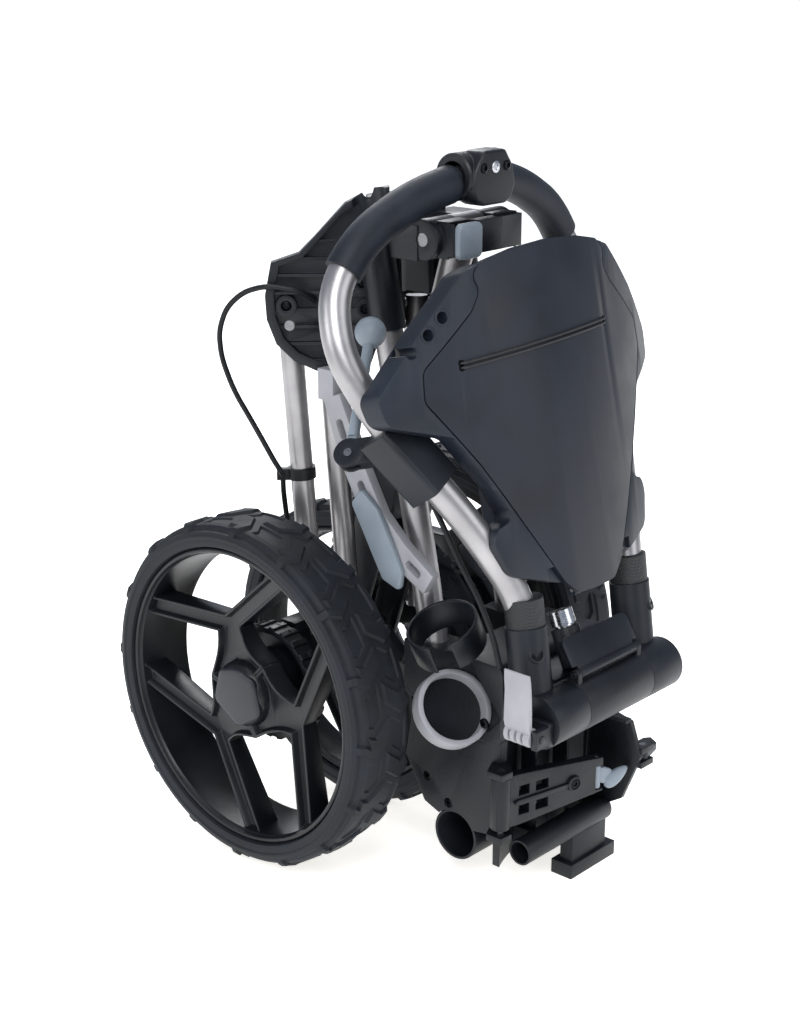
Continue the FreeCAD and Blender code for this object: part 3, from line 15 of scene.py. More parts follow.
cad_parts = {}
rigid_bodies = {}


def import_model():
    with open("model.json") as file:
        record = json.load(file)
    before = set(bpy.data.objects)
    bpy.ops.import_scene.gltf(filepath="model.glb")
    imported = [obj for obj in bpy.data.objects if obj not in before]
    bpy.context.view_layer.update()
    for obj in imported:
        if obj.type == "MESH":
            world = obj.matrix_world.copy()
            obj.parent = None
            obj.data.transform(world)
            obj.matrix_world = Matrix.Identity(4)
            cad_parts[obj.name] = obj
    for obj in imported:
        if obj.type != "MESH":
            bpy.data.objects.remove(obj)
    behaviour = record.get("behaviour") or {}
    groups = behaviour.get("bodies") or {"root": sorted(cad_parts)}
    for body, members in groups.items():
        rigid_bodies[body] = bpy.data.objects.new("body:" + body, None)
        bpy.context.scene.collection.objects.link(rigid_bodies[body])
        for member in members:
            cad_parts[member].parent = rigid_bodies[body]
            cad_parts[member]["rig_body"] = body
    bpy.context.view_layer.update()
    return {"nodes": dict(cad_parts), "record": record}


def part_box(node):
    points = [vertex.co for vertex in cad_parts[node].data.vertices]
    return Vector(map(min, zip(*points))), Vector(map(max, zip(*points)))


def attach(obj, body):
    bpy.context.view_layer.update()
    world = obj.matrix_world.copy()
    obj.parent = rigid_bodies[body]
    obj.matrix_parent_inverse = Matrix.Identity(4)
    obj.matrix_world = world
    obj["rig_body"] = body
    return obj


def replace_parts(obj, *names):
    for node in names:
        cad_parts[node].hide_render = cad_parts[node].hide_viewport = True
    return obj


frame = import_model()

Outline = Sequence[tuple[float, float]]
MM = 0.001
MERGE = 0.02 * MM
MOST_GROWTH, MOST_FACES = 1.5 * MM, 90000
AXLE_Y, AXLE_Z = 0.058, 0.145
log = logging.getLogger("trolley")
logging.basicConfig(level=logging.INFO, format="%(name)s: %(message)s")


# ---------------------------------------------------------------- finishes
def linear(code: str) -> tuple[float, float, float, float]:
    """Turns an sRGB hex colour into a linear one.

    Args:
        code: The colour as #RRGGBB.

    Returns:
        Linear red, green, blue and an alpha of 1.
    """
    parts = [int(code[k:k + 2], 16) / 255 for k in (1, 3, 5)]
    red, green, blue = [p / 12.92 if p <= 0.04045 else ((p + 0.055) / 1.055) ** 2.4 for p in parts]
    return red, green, blue, 1.0


def add(tree: NodeTree, kind: str, inputs: dict | None = None, **settings) -> Node:
    """Adds a node, sets its settings and fills or links its inputs.

    Args:
        tree: The material's node tree.
        kind: The node's type name after "ShaderNode".
        inputs: Input name or index to a plain value or an output socket.
        settings: Attributes of the node itself.

    Returns:
        The new node.
    """
    made = tree.nodes.new("ShaderNode" + kind)
    for name, value in settings.items():
        setattr(made, name, value)
    for name, value in (inputs or {}).items():
        if isinstance(value, NodeSocket):
            tree.links.new(value, made.inputs[name])
        else:
            made.inputs[name].default_value = value
    return made


def fresh(name: str) -> tuple[Material, NodeTree, NodeSocket]:
    """Makes an empty node material.

    Args:
        name: The material's name.

    Returns:
        The material, its node tree and the object's coordinates in it.
    """
    material = bpy.data.materials.new(name)
    material.use_nodes = True
    material.node_tree.nodes.clear()
    return material, material.node_tree, add(material.node_tree, "TexCoord").outputs["Object"]


def surfaced(material: Material, tree: NodeTree, inputs: dict) -> Material:
    """Ends a material with a principled surface.

    Args:
        material: The material.
        tree: Its node tree.
        inputs: The surface's inputs, as add takes them.

    Returns:
        The same material.
    """
    shader = add(tree, "BsdfPrincipled", inputs)
    add(tree, "OutputMaterial", {"Surface": shader.outputs[0]})
    return material


def spread(tree: NodeTree, pattern: NodeSocket, low: float, high: float,
           start: float = 0.3, end: float = 0.7) -> NodeSocket:
    """Maps a 0 to 1 pattern onto a range of values.

    Args:
        tree: The node tree.
        pattern: The pattern's output.
        low: Value at the start of the pattern.
        high: Value at its end.
        start: Where the range starts in the pattern.
        end: Where it ends.

    Returns:
        The mapped output.
    """
    ranged = add(tree, "MapRange", {"Value": pattern, "From Min": start, "From Max": end,
                                    "To Min": low, "To Max": high})
    return ranged.outputs["Result"]


def tinted(tree: NodeTree, pattern: NodeSocket, low: str, high: str) -> NodeSocket:
    """Blends two colours by a pattern.

    Args:
        tree: The node tree.
        pattern: The pattern's output.
        low: Hex colour where the pattern is dark.
        high: Hex colour where it is light.

    Returns:
        The colour output.
    """
    ramp = add(tree, "ValToRGB", {"Fac": pattern})
    ramp.color_ramp.elements[0].position, ramp.color_ramp.elements[1].position = 0.32, 0.68
    ramp.color_ramp.elements[0].color, ramp.color_ramp.elements[1].color = linear(low), linear(high)
    return ramp.outputs["Color"]


@dataclass(frozen=True)
class MouldedPlastic:
    """Injection-moulded glass-filled nylon or ABS: an even spark-eroded grain that breaks up the sheen."""

    name: str
    tone: str
    worn: str
    rough: float = 0.42
    grain_mm: float = 0.9
    depth_mm: float = 0.10
    edge_mm: float = 0.9

    def build(self) -> Material:
        """Builds the material."""
        material, tree, place = fresh(self.name)
        cloud = add(tree, "TexNoise", {"Vector": place, "Scale": 22.0, "Detail": 4.0}).outputs["Fac"]
        grain = add(tree, "TexNoise", {"Vector": place, "Scale": 1 / (self.grain_mm * MM), "Detail": 2.0,
                                       "Roughness": 0.6}).outputs["Fac"]
        pits = add(tree, "TexVoronoi", {"Vector": place, "Scale": 1 / (self.grain_mm * 1.6 * MM)},
                   feature="SMOOTH_F1").outputs["Distance"]
        both = add(tree, "Math", {0: grain, 1: pits}, operation="ADD").outputs[0]
        soft = add(tree, "Bevel", {"Radius": self.edge_mm * MM}, samples=4).outputs["Normal"]
        bump = add(tree, "Bump", {"Height": both, "Distance": self.depth_mm * MM, "Strength": 0.55,
                                  "Normal": soft}).outputs["Normal"]
        return surfaced(material, tree, {
            "Base Color": tinted(tree, cloud, self.tone, self.worn),
            "Roughness": spread(tree, cloud, self.rough - 0.05, self.rough + 0.07),
            "IOR": 1.5, "Specular IOR Level": 0.32, "Normal": bump})


@dataclass(frozen=True)
class SatinTube:
    """Aluminium tube, bead-blasted and clear anodised: pale, soft-edged reflections with a faint sparkle."""

    name: str
    tone: str
    shade: str
    rough: float = 0.34
    metallic: float = 0.85

    def build(self) -> Material:
        """Builds the material."""
        material, tree, place = fresh(self.name)
        cloud = add(tree, "TexNoise", {"Vector": place, "Scale": 30.0, "Detail": 3.0}).outputs["Fac"]
        blast = add(tree, "TexNoise", {"Vector": place, "Scale": 1400.0, "Detail": 2.0}).outputs["Fac"]
        soft = add(tree, "Bevel", {"Radius": 0.5 * MM}, samples=4).outputs["Normal"]
        bump = add(tree, "Bump", {"Height": blast, "Distance": 0.05 * MM, "Strength": 0.5,
                                  "Normal": soft}).outputs["Normal"]
        return surfaced(material, tree, {
            "Base Color": tinted(tree, cloud, self.shade, self.tone), "Metallic": self.metallic,
            "Roughness": spread(tree, blast, self.rough - 0.06, self.rough + 0.08), "Normal": bump})


@dataclass(frozen=True)
class BrightSteel:
    """Zinc-plated or turned steel: fine turning lines under a clear reflection."""

    name: str
    tone: str
    shade: str
    rough: float = 0.25

    def build(self) -> Material:
        """Builds the material."""
        material, tree, place = fresh(self.name)
        stretch = add(tree, "Mapping", {"Vector": place, "Scale": (1.0, 1.0, 14.0)}).outputs[0]
        lines = add(tree, "TexNoise", {"Vector": stretch, "Scale": 260.0, "Detail": 3.0}).outputs["Fac"]
        soft = add(tree, "Bevel", {"Radius": 0.3 * MM}, samples=4).outputs["Normal"]
        bump = add(tree, "Bump", {"Height": lines, "Distance": 0.03 * MM, "Strength": 0.4,
                                  "Normal": soft}).outputs["Normal"]
        return surfaced(material, tree, {
            "Base Color": tinted(tree, lines, self.shade, self.tone), "Metallic": 1.0,
            "Roughness": spread(tree, lines, self.rough - 0.07, self.rough + 0.1), "Normal": bump})


@dataclass(frozen=True)
class SolidFoam:
    """Moulded EVA foam rubber: a matt closed skin with small pores, dustier in random patches."""

    name: str
    tone: str
    dusty: str
    rough: float = 0.62
    pore_mm: float = 1.4

    def build(self) -> Material:
        """Builds the material."""
        material, tree, place = fresh(self.name)
        cloud = add(tree, "TexNoise", {"Vector": place, "Scale": 36.0, "Detail": 5.0,
                                       "Roughness": 0.65}).outputs["Fac"]
        pores = add(tree, "TexVoronoi", {"Vector": place, "Scale": 1 / (self.pore_mm * MM)},
                    feature="F1").outputs["Distance"]
        skin = add(tree, "TexNoise", {"Vector": place, "Scale": 900.0, "Detail": 3.0}).outputs["Fac"]
        both = add(tree, "Math", {0: pores, 1: skin}, operation="ADD").outputs[0]
        bump = add(tree, "Bump", {"Height": both, "Distance": 0.12 * MM, "Strength": 0.5}).outputs["Normal"]
        return surfaced(material, tree, {
            "Base Color": tinted(tree, cloud, self.tone, self.dusty),
            "Roughness": spread(tree, cloud, self.rough - 0.07, self.rough + 0.06),
            "IOR": 1.45, "Specular IOR Level": 0.3, "Normal": bump})


@dataclass(frozen=True)
class KnurledRubber:
    """Rubber or braided elastic with a crossed knurl, with painted shade in its grooves and a painted
    highlight on its ridges.
    """

    name: str
    tone: str
    # high is the painted highlight colour on the knurl's ridges; tone stays in its grooves as painted shade.
    high: str
    pitch_mm: float = 2.0
    depth_mm: float = 0.35

    def build(self) -> Material:
        """Builds the material."""
        material, tree, place = fresh(self.name)
        bands = []
        for turn in (0.7, -0.7):
            leaned = add(tree, "Mapping", {"Vector": place, "Rotation": (turn, 0.35, turn)}).outputs[0]
            bands.append(add(tree, "TexWave", {"Vector": leaned, "Scale": 0.31 / (self.pitch_mm * MM)},
                             bands_direction="Z").outputs["Fac"])
        cross = add(tree, "Math", {0: bands[0], 1: bands[1]}, operation="MULTIPLY").outputs[0]
        bump = add(tree, "Bump", {"Height": cross, "Distance": self.depth_mm * MM,
                                  "Strength": 0.9}).outputs["Normal"]
        return surfaced(material, tree, {
            # The colour follows the knurl's height: painted shade in the grooves, painted highlight on the
            # ridges.
            "Base Color": tinted(tree, cross, self.tone, self.high), "Roughness": 0.55,
            "IOR": 1.5, "Normal": bump})


class Finish(Enum):
    """Every finish of the trolley, by what it is on."""

    FRAME_PLASTIC = MouldedPlastic("frame_nylon_moulded", "#0B0E13", "#13181F", 0.40)
    CASTING = MouldedPlastic("casting_nylon_moulded", "#0A0C10", "#12161C", 0.44, grain_mm=1.3, depth_mm=0.16)
    TRAY = MouldedPlastic("tray_abs_moulded", "#10151D", "#19202B", 0.42, grain_mm=0.8)
    LID = MouldedPlastic("lid_abs_fine_grain", "#10141B", "#181D27", 0.44, grain_mm=0.7, depth_mm=0.07)
    WHEEL = MouldedPlastic("rim_nylon_moulded", "#0A0B0E", "#13161A", 0.34, grain_mm=1.1, edge_mm=1.2)
    CAP = MouldedPlastic("hub_cap_abs_satin", "#16181D", "#1F2329", 0.30, grain_mm=0.8)
    PALE = MouldedPlastic("pale_acetal_moulded", "#727C85", "#848E97", 0.40, grain_mm=0.9, depth_mm=0.05)
    WARM = MouldedPlastic("warm_grey_acetal_moulded", "#8A8A8E", "#9C9CA1", 0.42, grain_mm=0.9, depth_mm=0.05)
    TYRE = SolidFoam("tyre_foam_rubber", "#0E1115", "#1A1E25")
    GRIP = SolidFoam("grip_foam_sleeve", "#10141B", "#1B212B", 0.55, 0.9)
    CABLE = SolidFoam("cable_pvc_sheath", "#090A0C", "#131518", 0.4, 0.8)
    # The cord's and the collar's second colour is a painted highlight on their knurl's ridges, over painted
    # shade in the grooves.
    CORD = KnurledRubber("lid_cord_braided_elastic", "#08090A", "#1B1D20", 0.9, 0.12)
    COLLAR = KnurledRubber("collar_knurled_rubber", "#0A0B0D", "#24262A", 1.6, 0.3)
    TUBE = SatinTube("tube_anodised_aluminium", "#A7A5A6", "#918F90")
    STEEL = BrightSteel("pin_turned_steel", "#8F9093", "#6D6F72", 0.3)
    BRIGHT = BrightSteel("plunger_chromed_steel", "#C4C6CA", "#A8AAAE", 0.2)
    BLACK_STEEL = BrightSteel("screw_black_oxide_steel", "#26272A", "#17181A", 0.34)

    def material(self) -> Material:
        """Returns the finish's material, built the first time it is asked for."""
        return bpy.data.materials.get(self.value.name) or self.value.build()


NODE_FINISH: dict[Finish, tuple[str, ...]] = {
    Finish.FRAME_PLASTIC: ("hip_core", "hip_cover_left", "hip_cover_right", "loop_clamp", "handle_sleeves",
                           "brake_housing", "latch_plate", "holder_band", "hub_bracket_left",
                           "hub_bracket_right", "fork_crown"),
    Finish.CASTING: ("lower_casting", "bag_saddle", "bag_arm", "strap_hook", "foot_rail", "cross_tubes"),
    Finish.TRAY: ("tray_body",),
    Finish.LID: ("tray_lid",),
    Finish.WHEEL: ("rim_left", "rim_right", "front_rim", "brake_drum_left"),
    Finish.CAP: ("hub_cap_left", "hub_cap_right"),
    Finish.TYRE: ("tyre_left", "tyre_right", "front_tyre"),
    Finish.GRIP: ("grips",),
    Finish.COLLAR: ("handle_collars",),
    Finish.CORD: ("lid_cord",),
    Finish.CABLE: ("cable_handle", "cable_loop", "cable_leg"),
    Finish.TUBE: ("main_tubes", "leg_outer_left", "leg_inner_left", "leg_outer_right", "leg_inner_right",
                  "fork_tube", "handle_tube"),
    Finish.STEEL: ("frame_pins", "knuckle_pins_left", "knuckle_pins_right", "handle_pins", "front_axle",
                   "wheel_bearings_left", "wheel_bearings_right", "front_bearings", "brake_pin_left"),
    Finish.BLACK_STEEL: ("casting_screws",),
    Finish.BRIGHT: ("latch_plunger", "handle_fittings"),
    Finish.PALE: ("release_button", "brake_lever", "strap_tab", "arm_clip"),
    Finish.WARM: ("strap", "accessory_ring", "cam_lever"),
}


def slot_of(node: str) -> str:
    """Returns the record's material slot of a node."""
    return next(s["material_slot"] for s in frame["record"]["subparts"] if s["node"] == node)


def body_holding(node: str) -> str:
    """Returns the body that a node rides on."""
    return frame["nodes"][node]["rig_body"]


# ---------------------------------------------------------------- shaping tools
def settle(bm: BMesh, name: str, body: str, finish: Finish,
           sharp: float = 32.0, weld: bool = True) -> Object:
    """Makes an object of a finished mesh, dresses it and rides it.

    Args:
        bm: The mesh, in the trolley's own coordinates; it is freed.
        name: The piece's name.
        body: The body that it moves with.
        finish: Its finish.
        sharp: Edges that turn by more than this stay sharp, in degrees.
        weld: Whether doubled points are merged and faces turned outwards first.

    Returns:
        The new object.
    """
    if weld:
        bmesh.ops.remove_doubles(bm, verts=bm.verts, dist=MERGE)
        bmesh.ops.recalc_face_normals(bm, faces=bm.faces)
    mesh = bpy.data.meshes.new(name)
    bm.to_mesh(mesh)
    bm.free()
    for face in mesh.polygons:
        face.use_smooth = True
    mesh.set_sharp_from_angle(angle=radians(sharp))
    mesh.materials.append(finish.material())
    piece = shown(name, mesh)
    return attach(piece, body)


def shown(name: str, data: bpy.types.ID) -> Object:
    """Returns a new object of some data, linked to the scene."""
    bpy.context.scene.collection.objects.link(bpy.data.objects.new(name, data))
    return bpy.data.objects[name]


def stand_in(bm: BMesh, name: str, node: str, finish: Finish, sharp: float = 32.0) -> Object:
    """Settles a finished mesh in place of a frame node, with that node's body.

    Args:
        bm: The mesh; it is freed.
        name: The piece's name.
        node: The node that it replaces.
        finish: Its finish.
        sharp: Edges that turn by more than this stay sharp, in degrees.

    Returns:
        The new object.
    """
    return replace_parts(settle(bm, name, body_holding(node), finish, sharp), node)


def told(piece: Object) -> None:
    """Logs a piece's name and its number of faces."""
    log.info("%s: %d faces", piece.name, len(piece.data.polygons))


def merge_into(bm: BMesh, own: BMesh) -> None:
    """Moves one mesh's geometry into another and frees it.

    Args:
        bm: The mesh to add to.
        own: The mesh to add, which is freed.
    """
    held = bpy.data.meshes.new("held")
    bmesh.ops.recalc_face_normals(own, faces=own.faces)
    own.to_mesh(held)
    own.free()
    bm.from_mesh(held)
    bpy.data.meshes.remove(held)


def soften(bm: BMesh, width: float, least: float = 30.0, segments: int = 2) -> None:
    """Bevels the mesh's sharp edges.

    Args:
        bm: The mesh.
        width: Bevel width in metres.
        least: Only edges that turn by more than this many degrees.
        segments: Bevel segments.
    """
    bm.normal_update()
    chosen = [e for e in bm.edges if len(e.link_faces) == 2 and e.calc_face_angle(0.0) > radians(least)]
    bmesh.ops.bevel(bm, geom=chosen, offset=width, offset_type="OFFSET", segments=segments, profile=0.5,
                    affect="EDGES", clamp_overlap=True, material=-1)


def spun(bm: BMesh, profile: Outline, centre: Vector, side: float,
         steps: int) -> None:
    """Turns a closed profile about the X axis through a centre.

    Args:
        bm: The mesh to add to.
        profile: Points of (distance outwards, radius) in millimetres.
        centre: A point of the axis, from which distances outwards are measured.
        side: -1 where outwards is -X and 1 where it is +X.
        steps: Steps round the turn.
    """
    verts = [bm.verts.new(centre + Vector((side * s * MM, 0, r * MM))) for s, r in profile]
    edges = [bm.edges.new((a, b)) for a, b in zip(verts, verts[1:] + verts[:1])]
    bmesh.ops.spin(bm, geom=verts + edges, cent=centre, axis=(1, 0, 0), angle=tau, steps=steps,
                   use_merge=True, use_duplicate=False)
    bmesh.ops.remove_doubles(bm, verts=bm.verts, dist=MERGE)


def turned(bm: BMesh, profile: Outline, place: Matrix) -> None:
    """Adds a small closed profile turned about the local Z of a placement.

    Args:
        bm: The mesh to add to.
        profile: Points of (height, radius) in millimetres.
        place: The placement.
    """
    own = bmesh.new()
    spun(own, profile, Vector((0, 0, 0)), 1, 40)
    bmesh.ops.transform(own, matrix=place @ Matrix.Rotation(radians(-90), 4, "Y"), verts=own.verts)
    merge_into(bm, own)


def scaled(outline: Outline, scale: float = MM) -> Outline:
    """Returns an outline in metres from one in millimetres."""
    return [(a * scale, b * scale) for a, b in outline]


def prism(bm: BMesh, outline: Outline, depth: float, place: Matrix) -> BMFace:
    """Extrudes a flat outline along its local Z.

    Args:
        bm: The mesh to add to.
        outline: Points of local X and Y, in metres.
        depth: How far it is extruded, in metres.
        place: Where local coordinates go.

    Returns:
        The face at the far end of the extrusion.
    """
    base = bm.faces.new([bm.verts.new((a, b, 0.0)) for a, b in outline])
    grown = bmesh.ops.extrude_face_region(bm, geom=[base], use_keep_orig=True)["geom"]
    top = [g for g in grown if isinstance(g, BMVert)]
    bmesh.ops.translate(bm, verts=top, vec=(0, 0, depth))
    bmesh.ops.transform(bm, matrix=place, verts=list(base.verts) + top)
    return next(f for f in bm.faces if f is not base and set(f.verts) == set(top))


def facing(origin: Vector, third: Vector, first: Vector | None = None) -> Matrix:
    """Builds a placement from its origin, its local Z and, if given, its local X.

    Args:
        origin: Where the local origin goes.
        third: Direction of local Z.
        first: Rough direction of local X.

    Returns:
        The placement as a 4 by 4 matrix.
    """
    z = Vector(third).normalized()
    x = Vector(first) if first is not None else (Vector((0, 0, 1)) if abs(z.z) < 0.9 else Vector((1, 0, 0)))
    x = (x - z * x.dot(z)).normalized()
    y = z.cross(x)
    return Matrix.Translation(origin) @ Matrix((x, y, z)).transposed().to_4x4()


@dataclass
class SocketScrews:
    """Domed socket screws: black oxide steel heads with a hexagonal socket, set in the mouldings."""

    radius: float = 3.9
    rise: float = 2.4

    def head(self, bm: BMesh, at: Vector, axis: Vector) -> None:
        """Adds one head.

        Args:
            bm: The mesh to add to.
            at: Centre of the head's seat, in millimetres.
            axis: Direction that the head faces.
        """
        own = bmesh.new()
        bmesh.ops.create_circle(own, cap_ends=True, segments=24, radius=self.radius * MM)
        base = own.faces[:][0]
        grown = bmesh.ops.extrude_face_region(own, geom=[base], use_keep_orig=True)["geom"]
        top = [g for g in grown if isinstance(g, BMVert)]
        bmesh.ops.translate(own, verts=top, vec=(0, 0, self.rise * 0.6 * MM))
        lid = next(f for f in own.faces if set(f.verts) == set(top))
        for inwards, up in ((0.24, 0.3), (0.2, 0.1)):
            bmesh.ops.inset_region(own, faces=[lid], thickness=self.radius * inwards * MM,
                                   depth=self.rise * up * MM)
        for k, vert in enumerate(lid.verts):
            flat = cos(radians(30)) / cos(radians((k * 15) % 60 - 30))
            vert.co.x, vert.co.y = vert.co.x * flat, vert.co.y * flat
        bmesh.ops.inset_region(own, faces=[lid], thickness=0.05 * MM, depth=-self.rise * 0.7 * MM)
        bmesh.ops.transform(own, matrix=facing(at * MM, axis), verts=own.verts)
        merge_into(bm, own)

    def build(self, name: str, places: Sequence[tuple[Vector, Vector]], body: str, slot: str,
              finish: Finish = Finish.BLACK_STEEL) -> Object:
        """Builds several heads as one piece.

        Args:
            name: The piece's name.
            places: Each head's seat, in millimetres, and the direction that it faces.
            body: The body that the heads move with.
            slot: The record's material slot; not used.
            finish: Their finish.

        Returns:
            The piece.
        """
        bm = bmesh.new()
        for at, axis in places:
            self.head(bm, at, axis)
        return settle(bm, name, body, finish)


# ---------------------------------------------------------------- wheels
@dataclass
class Wheel:
    """One wheel: its foam tyre with raised lugs and its moulded rim of three forked spokes.

    Sizes are in millimetres, and distances outwards are measured from the wheel's middle plane.
    """

    name: str
    tyre_node: str
    rim_node: str
    side: float
    radius: float
    wide: float
    lugs: int
    turn: float = -21.0
    steps: int = 20
    lug_high: float = 4.0
    depth: float = 25.0
    lobe_deep: float = 22.0
    lobe_dip: float = 7.0
    centre: Vector = field(init=False)

    def __post_init__(self) -> None:
        """Finds the wheel's centre from its tyre and rim."""
        low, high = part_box(self.tyre_node)
        self.centre = (low + high) / 2
        rim_low, rim_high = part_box(self.rim_node)
        self.centre.y, self.centre.z = (rim_low.y + rim_high.y) / 2, (rim_low.z + rim_high.z) / 2

    def outward(self, point: Vector) -> float:
        """Returns a point's distance outwards, in millimetres."""
        return (point.x - self.centre.x) * self.side / MM

    def lean(self, out: float) -> float:
        """Returns how far the tread's pattern leads at a distance across it, as a share of a lug."""
        across = abs(out) / (self.wide / 2)
        return 0.42 * min(across, 0.5) - 0.30 * max(0.0, min(across, 0.8) - 0.5)

    def tread(self, bm: BMesh) -> tuple[list[BMFace], list[BMFace]]:
        """Picks the tread's plates and the smaller panels on them, then leans the pattern.

        Args:
            bm: The turned tyre.

        Returns:
            The faces of the plates and, among them, those of the panels.
        """
        base, half = self.radius - self.lug_high, self.wide / 2
        plates, panels = [], []
        for face in bm.faces:
            middle = face.calc_center_median()
            out = self.outward(middle)
            reach = hypot(middle.y - self.centre.y, middle.z - self.centre.z) / MM
            if reach < base - 7.5:
                continue
            angle = atan2(middle.z - self.centre.z, middle.y - self.centre.y)
            stagger = self.steps / 2 if out < 0 else 0
            step = int((angle % tau) / tau * self.lugs * self.steps + stagger)
            share = (step % self.steps) / self.steps
            across = abs(out) / half
            if share < (0.9 if across > 0.66 else 0.75):
                plates.append(face)
                if 0.16 < across < 0.66 and 0.15 <= share < 0.6:
                    panels.append(face)
        for vert in bm.verts:
            angle = self.lean(self.outward(vert.co)) * tau / self.lugs
            arm = vert.co - self.centre
            arm.rotate(Matrix.Rotation(angle, 3, "X"))
            vert.co = self.centre + arm
        return plates, panels

    def tyre(self) -> Object:
        """Makes the tyre: a turned ring whose tread rises in staggered angular plates."""
        base, seat = self.radius - self.lug_high, self.radius - self.depth
        k = self.wide / 60
        outer = [(25 * k, seat), (28.0 * k, seat + 1.2), (28.8 * k, seat + 4), (28.6 * k, seat + 7),
                 (29.4 * k, seat + 8.2), (29.4 * k, seat + 9.6), (28.8 * k, seat + 10.8),
                 (28.2 * k, base - 8), (26.8 * k, base - 4.4), (24 * k, base - 1.6),
                 (19.8 * k, base - 0.4), (14 * k, base), (9 * k, base), (4.8 * k, base), (0.0, base)]
        profile = outer + [(-s, r) for s, r in reversed(outer[:-1])]
        bm = bmesh.new()
        spun(bm, profile, self.centre, self.side, self.lugs * self.steps)
        plates, panels = self.tread(bm)
        bm.normal_update()
        for faces, slope, high in ((plates, 1.5, 2.3), (panels, 1.3, 1.5)):
            bmesh.ops.inset_region(bm, faces=faces, thickness=slope * MM, depth=high * MM,
                                   use_even_offset=True, use_boundary=True)
        for vert in bm.verts:
            arm = Vector((0.0, vert.co.y - self.centre.y, vert.co.z - self.centre.z))
            if arm.length > self.radius * MM:
                arm = arm.normalized() * self.radius * MM
                vert.co = Vector((vert.co.x, self.centre.y + arm.y, self.centre.z + arm.z))
            reach = self.wide / 2 * MM
            vert.co.x = min(max(vert.co.x, self.centre.x - reach), self.centre.x + reach)
        return stand_in(bm, self.name + "_tyre_lugged", self.tyre_node, Finish.TYRE, 22)

    def place(self, out: float, turn: float) -> Matrix:
        """Returns a placement whose Z faces outwards and whose Y points at an angle from straight up."""
        up = Vector((0, -sin(turn), cos(turn)))
        third = Vector((self.side, 0, 0))
        return facing(self.centre + third * out * MM, third, up.cross(third))

    def barrel(self, bm: BMesh) -> None:
        """Adds the deep stepped barrel and the hub tube."""
        seat = self.radius - self.depth - 0.1
        half = self.wide / 2 - 6
        lip = [(half, seat), (half + 1.8, seat - 0.8), (half + 2.4, seat - 2.2), (half + 1.8, seat - 3.8),
               (half - 1.0, seat - 4.6), (half - 2.2, seat - 5.6), (half - 10, seat - 6.4),
               (-half + 3, seat - 9), (-half, seat - 8), (-half, seat)]
        spun(bm, lip, self.centre, self.side, 144)
        hub = [(half - 0.5, 14.2), (half - 0.5, 22), (half - 2, 24), (half - 6, 26.5), (-half + 5, 28),
               (-half + 4, 27), (-half + 4, 14.2)]
        spun(bm, hub, self.centre, self.side, 72)

    def outline(self, rib: float = 8.0, corner: float = 55.0, fork: float = 44.0) -> Outline:
        """Works out one lobe with its two spokes, symmetrical about its Y axis.

        Args:
            rib: Half of a spoke's width.
            corner: Distance from the axle to the lobe's corner.
            fork: Angle between the lobe's middle and where a spoke meets the barrel, in degrees.

        Returns:
            The closed outline in millimetres.
        """
        seat, hub = self.radius - self.depth, 27.0
        start = Vector((0.0, corner))
        end = Vector((sin(radians(fork)), cos(radians(fork)))) * (seat - 5)
        along = (end - start).normalized()
        left = Vector((-along.y, along.x))

        def meeting(point: Vector) -> Vector:
            """Returns where a line along the spoke from a point meets the barrel."""
            lead = point.dot(along)
            return point + along * (sqrt(lead * lead - point.dot(point) + (seat - 2.5) ** 2) - lead)

        upper, lower = start + left * rib, start - left * rib
        root = lower + along * 12
        waist = Vector((sin(radians(60)), cos(radians(60))))
        curve = [root.lerp(waist * (hub + 10), k / 6) - Vector((4.4 * sin(pi * k / 6), 0))
                 for k in range(1, 6)]
        right = ([Vector((0.0, corner + rib / along.x)), meeting(upper), meeting(lower), root] + curve
                 + [waist * (hub + 10), waist * (hub - 3), Vector((0.0, hub - 3))])
        return [(q.x, q.y) for q in right] + [(-q.x, q.y) for q in reversed(right) if q.x > 1e-6]

    def lobe(self, bm: BMesh, turn: float) -> None:
        """Adds one lobe with its forked spokes, sunk between their ribs and dished towards the hub."""
        half = self.wide / 2 - 6
        front, deep = half - 4, self.lobe_deep
        own = bmesh.new()
        face = prism(own, scaled(self.outline()), deep * MM, self.place(front - deep, turn))
        bmesh.ops.recalc_face_normals(own, faces=own.faces)
        for inwards, sunk in ((2.2, 0.0), (1.2, 6.0)):
            bmesh.ops.inset_region(own, faces=[face], thickness=inwards * MM, depth=-sunk * MM,
                                   use_even_offset=True)
        soften(own, 0.9 * MM, 30, 2)
        for vert in own.verts:
            reach = hypot(vert.co.y - self.centre.y, vert.co.z - self.centre.z) / MM
            if self.outward(vert.co) > front - 10:
                share = max(0.0, 1 - abs(reach - 60) / 42)
                vert.co.x -= self.side * self.lobe_dip * MM * share * share * (3 - 2 * share)
        merge_into(bm, own)

    def rim(self) -> Object:
        """Makes the whole rim."""
        bm = bmesh.new()
        self.barrel(bm)
        for k in range(3):
            self.lobe(bm, radians(self.turn + 120 * k))
        return stand_in(bm, self.name + "_rim_moulded", self.rim_node, Finish.WHEEL)

    def build(self) -> None:
        """Builds and reports the tyre and the rim."""
        for piece in (self.tyre(), self.rim()):
            told(piece)


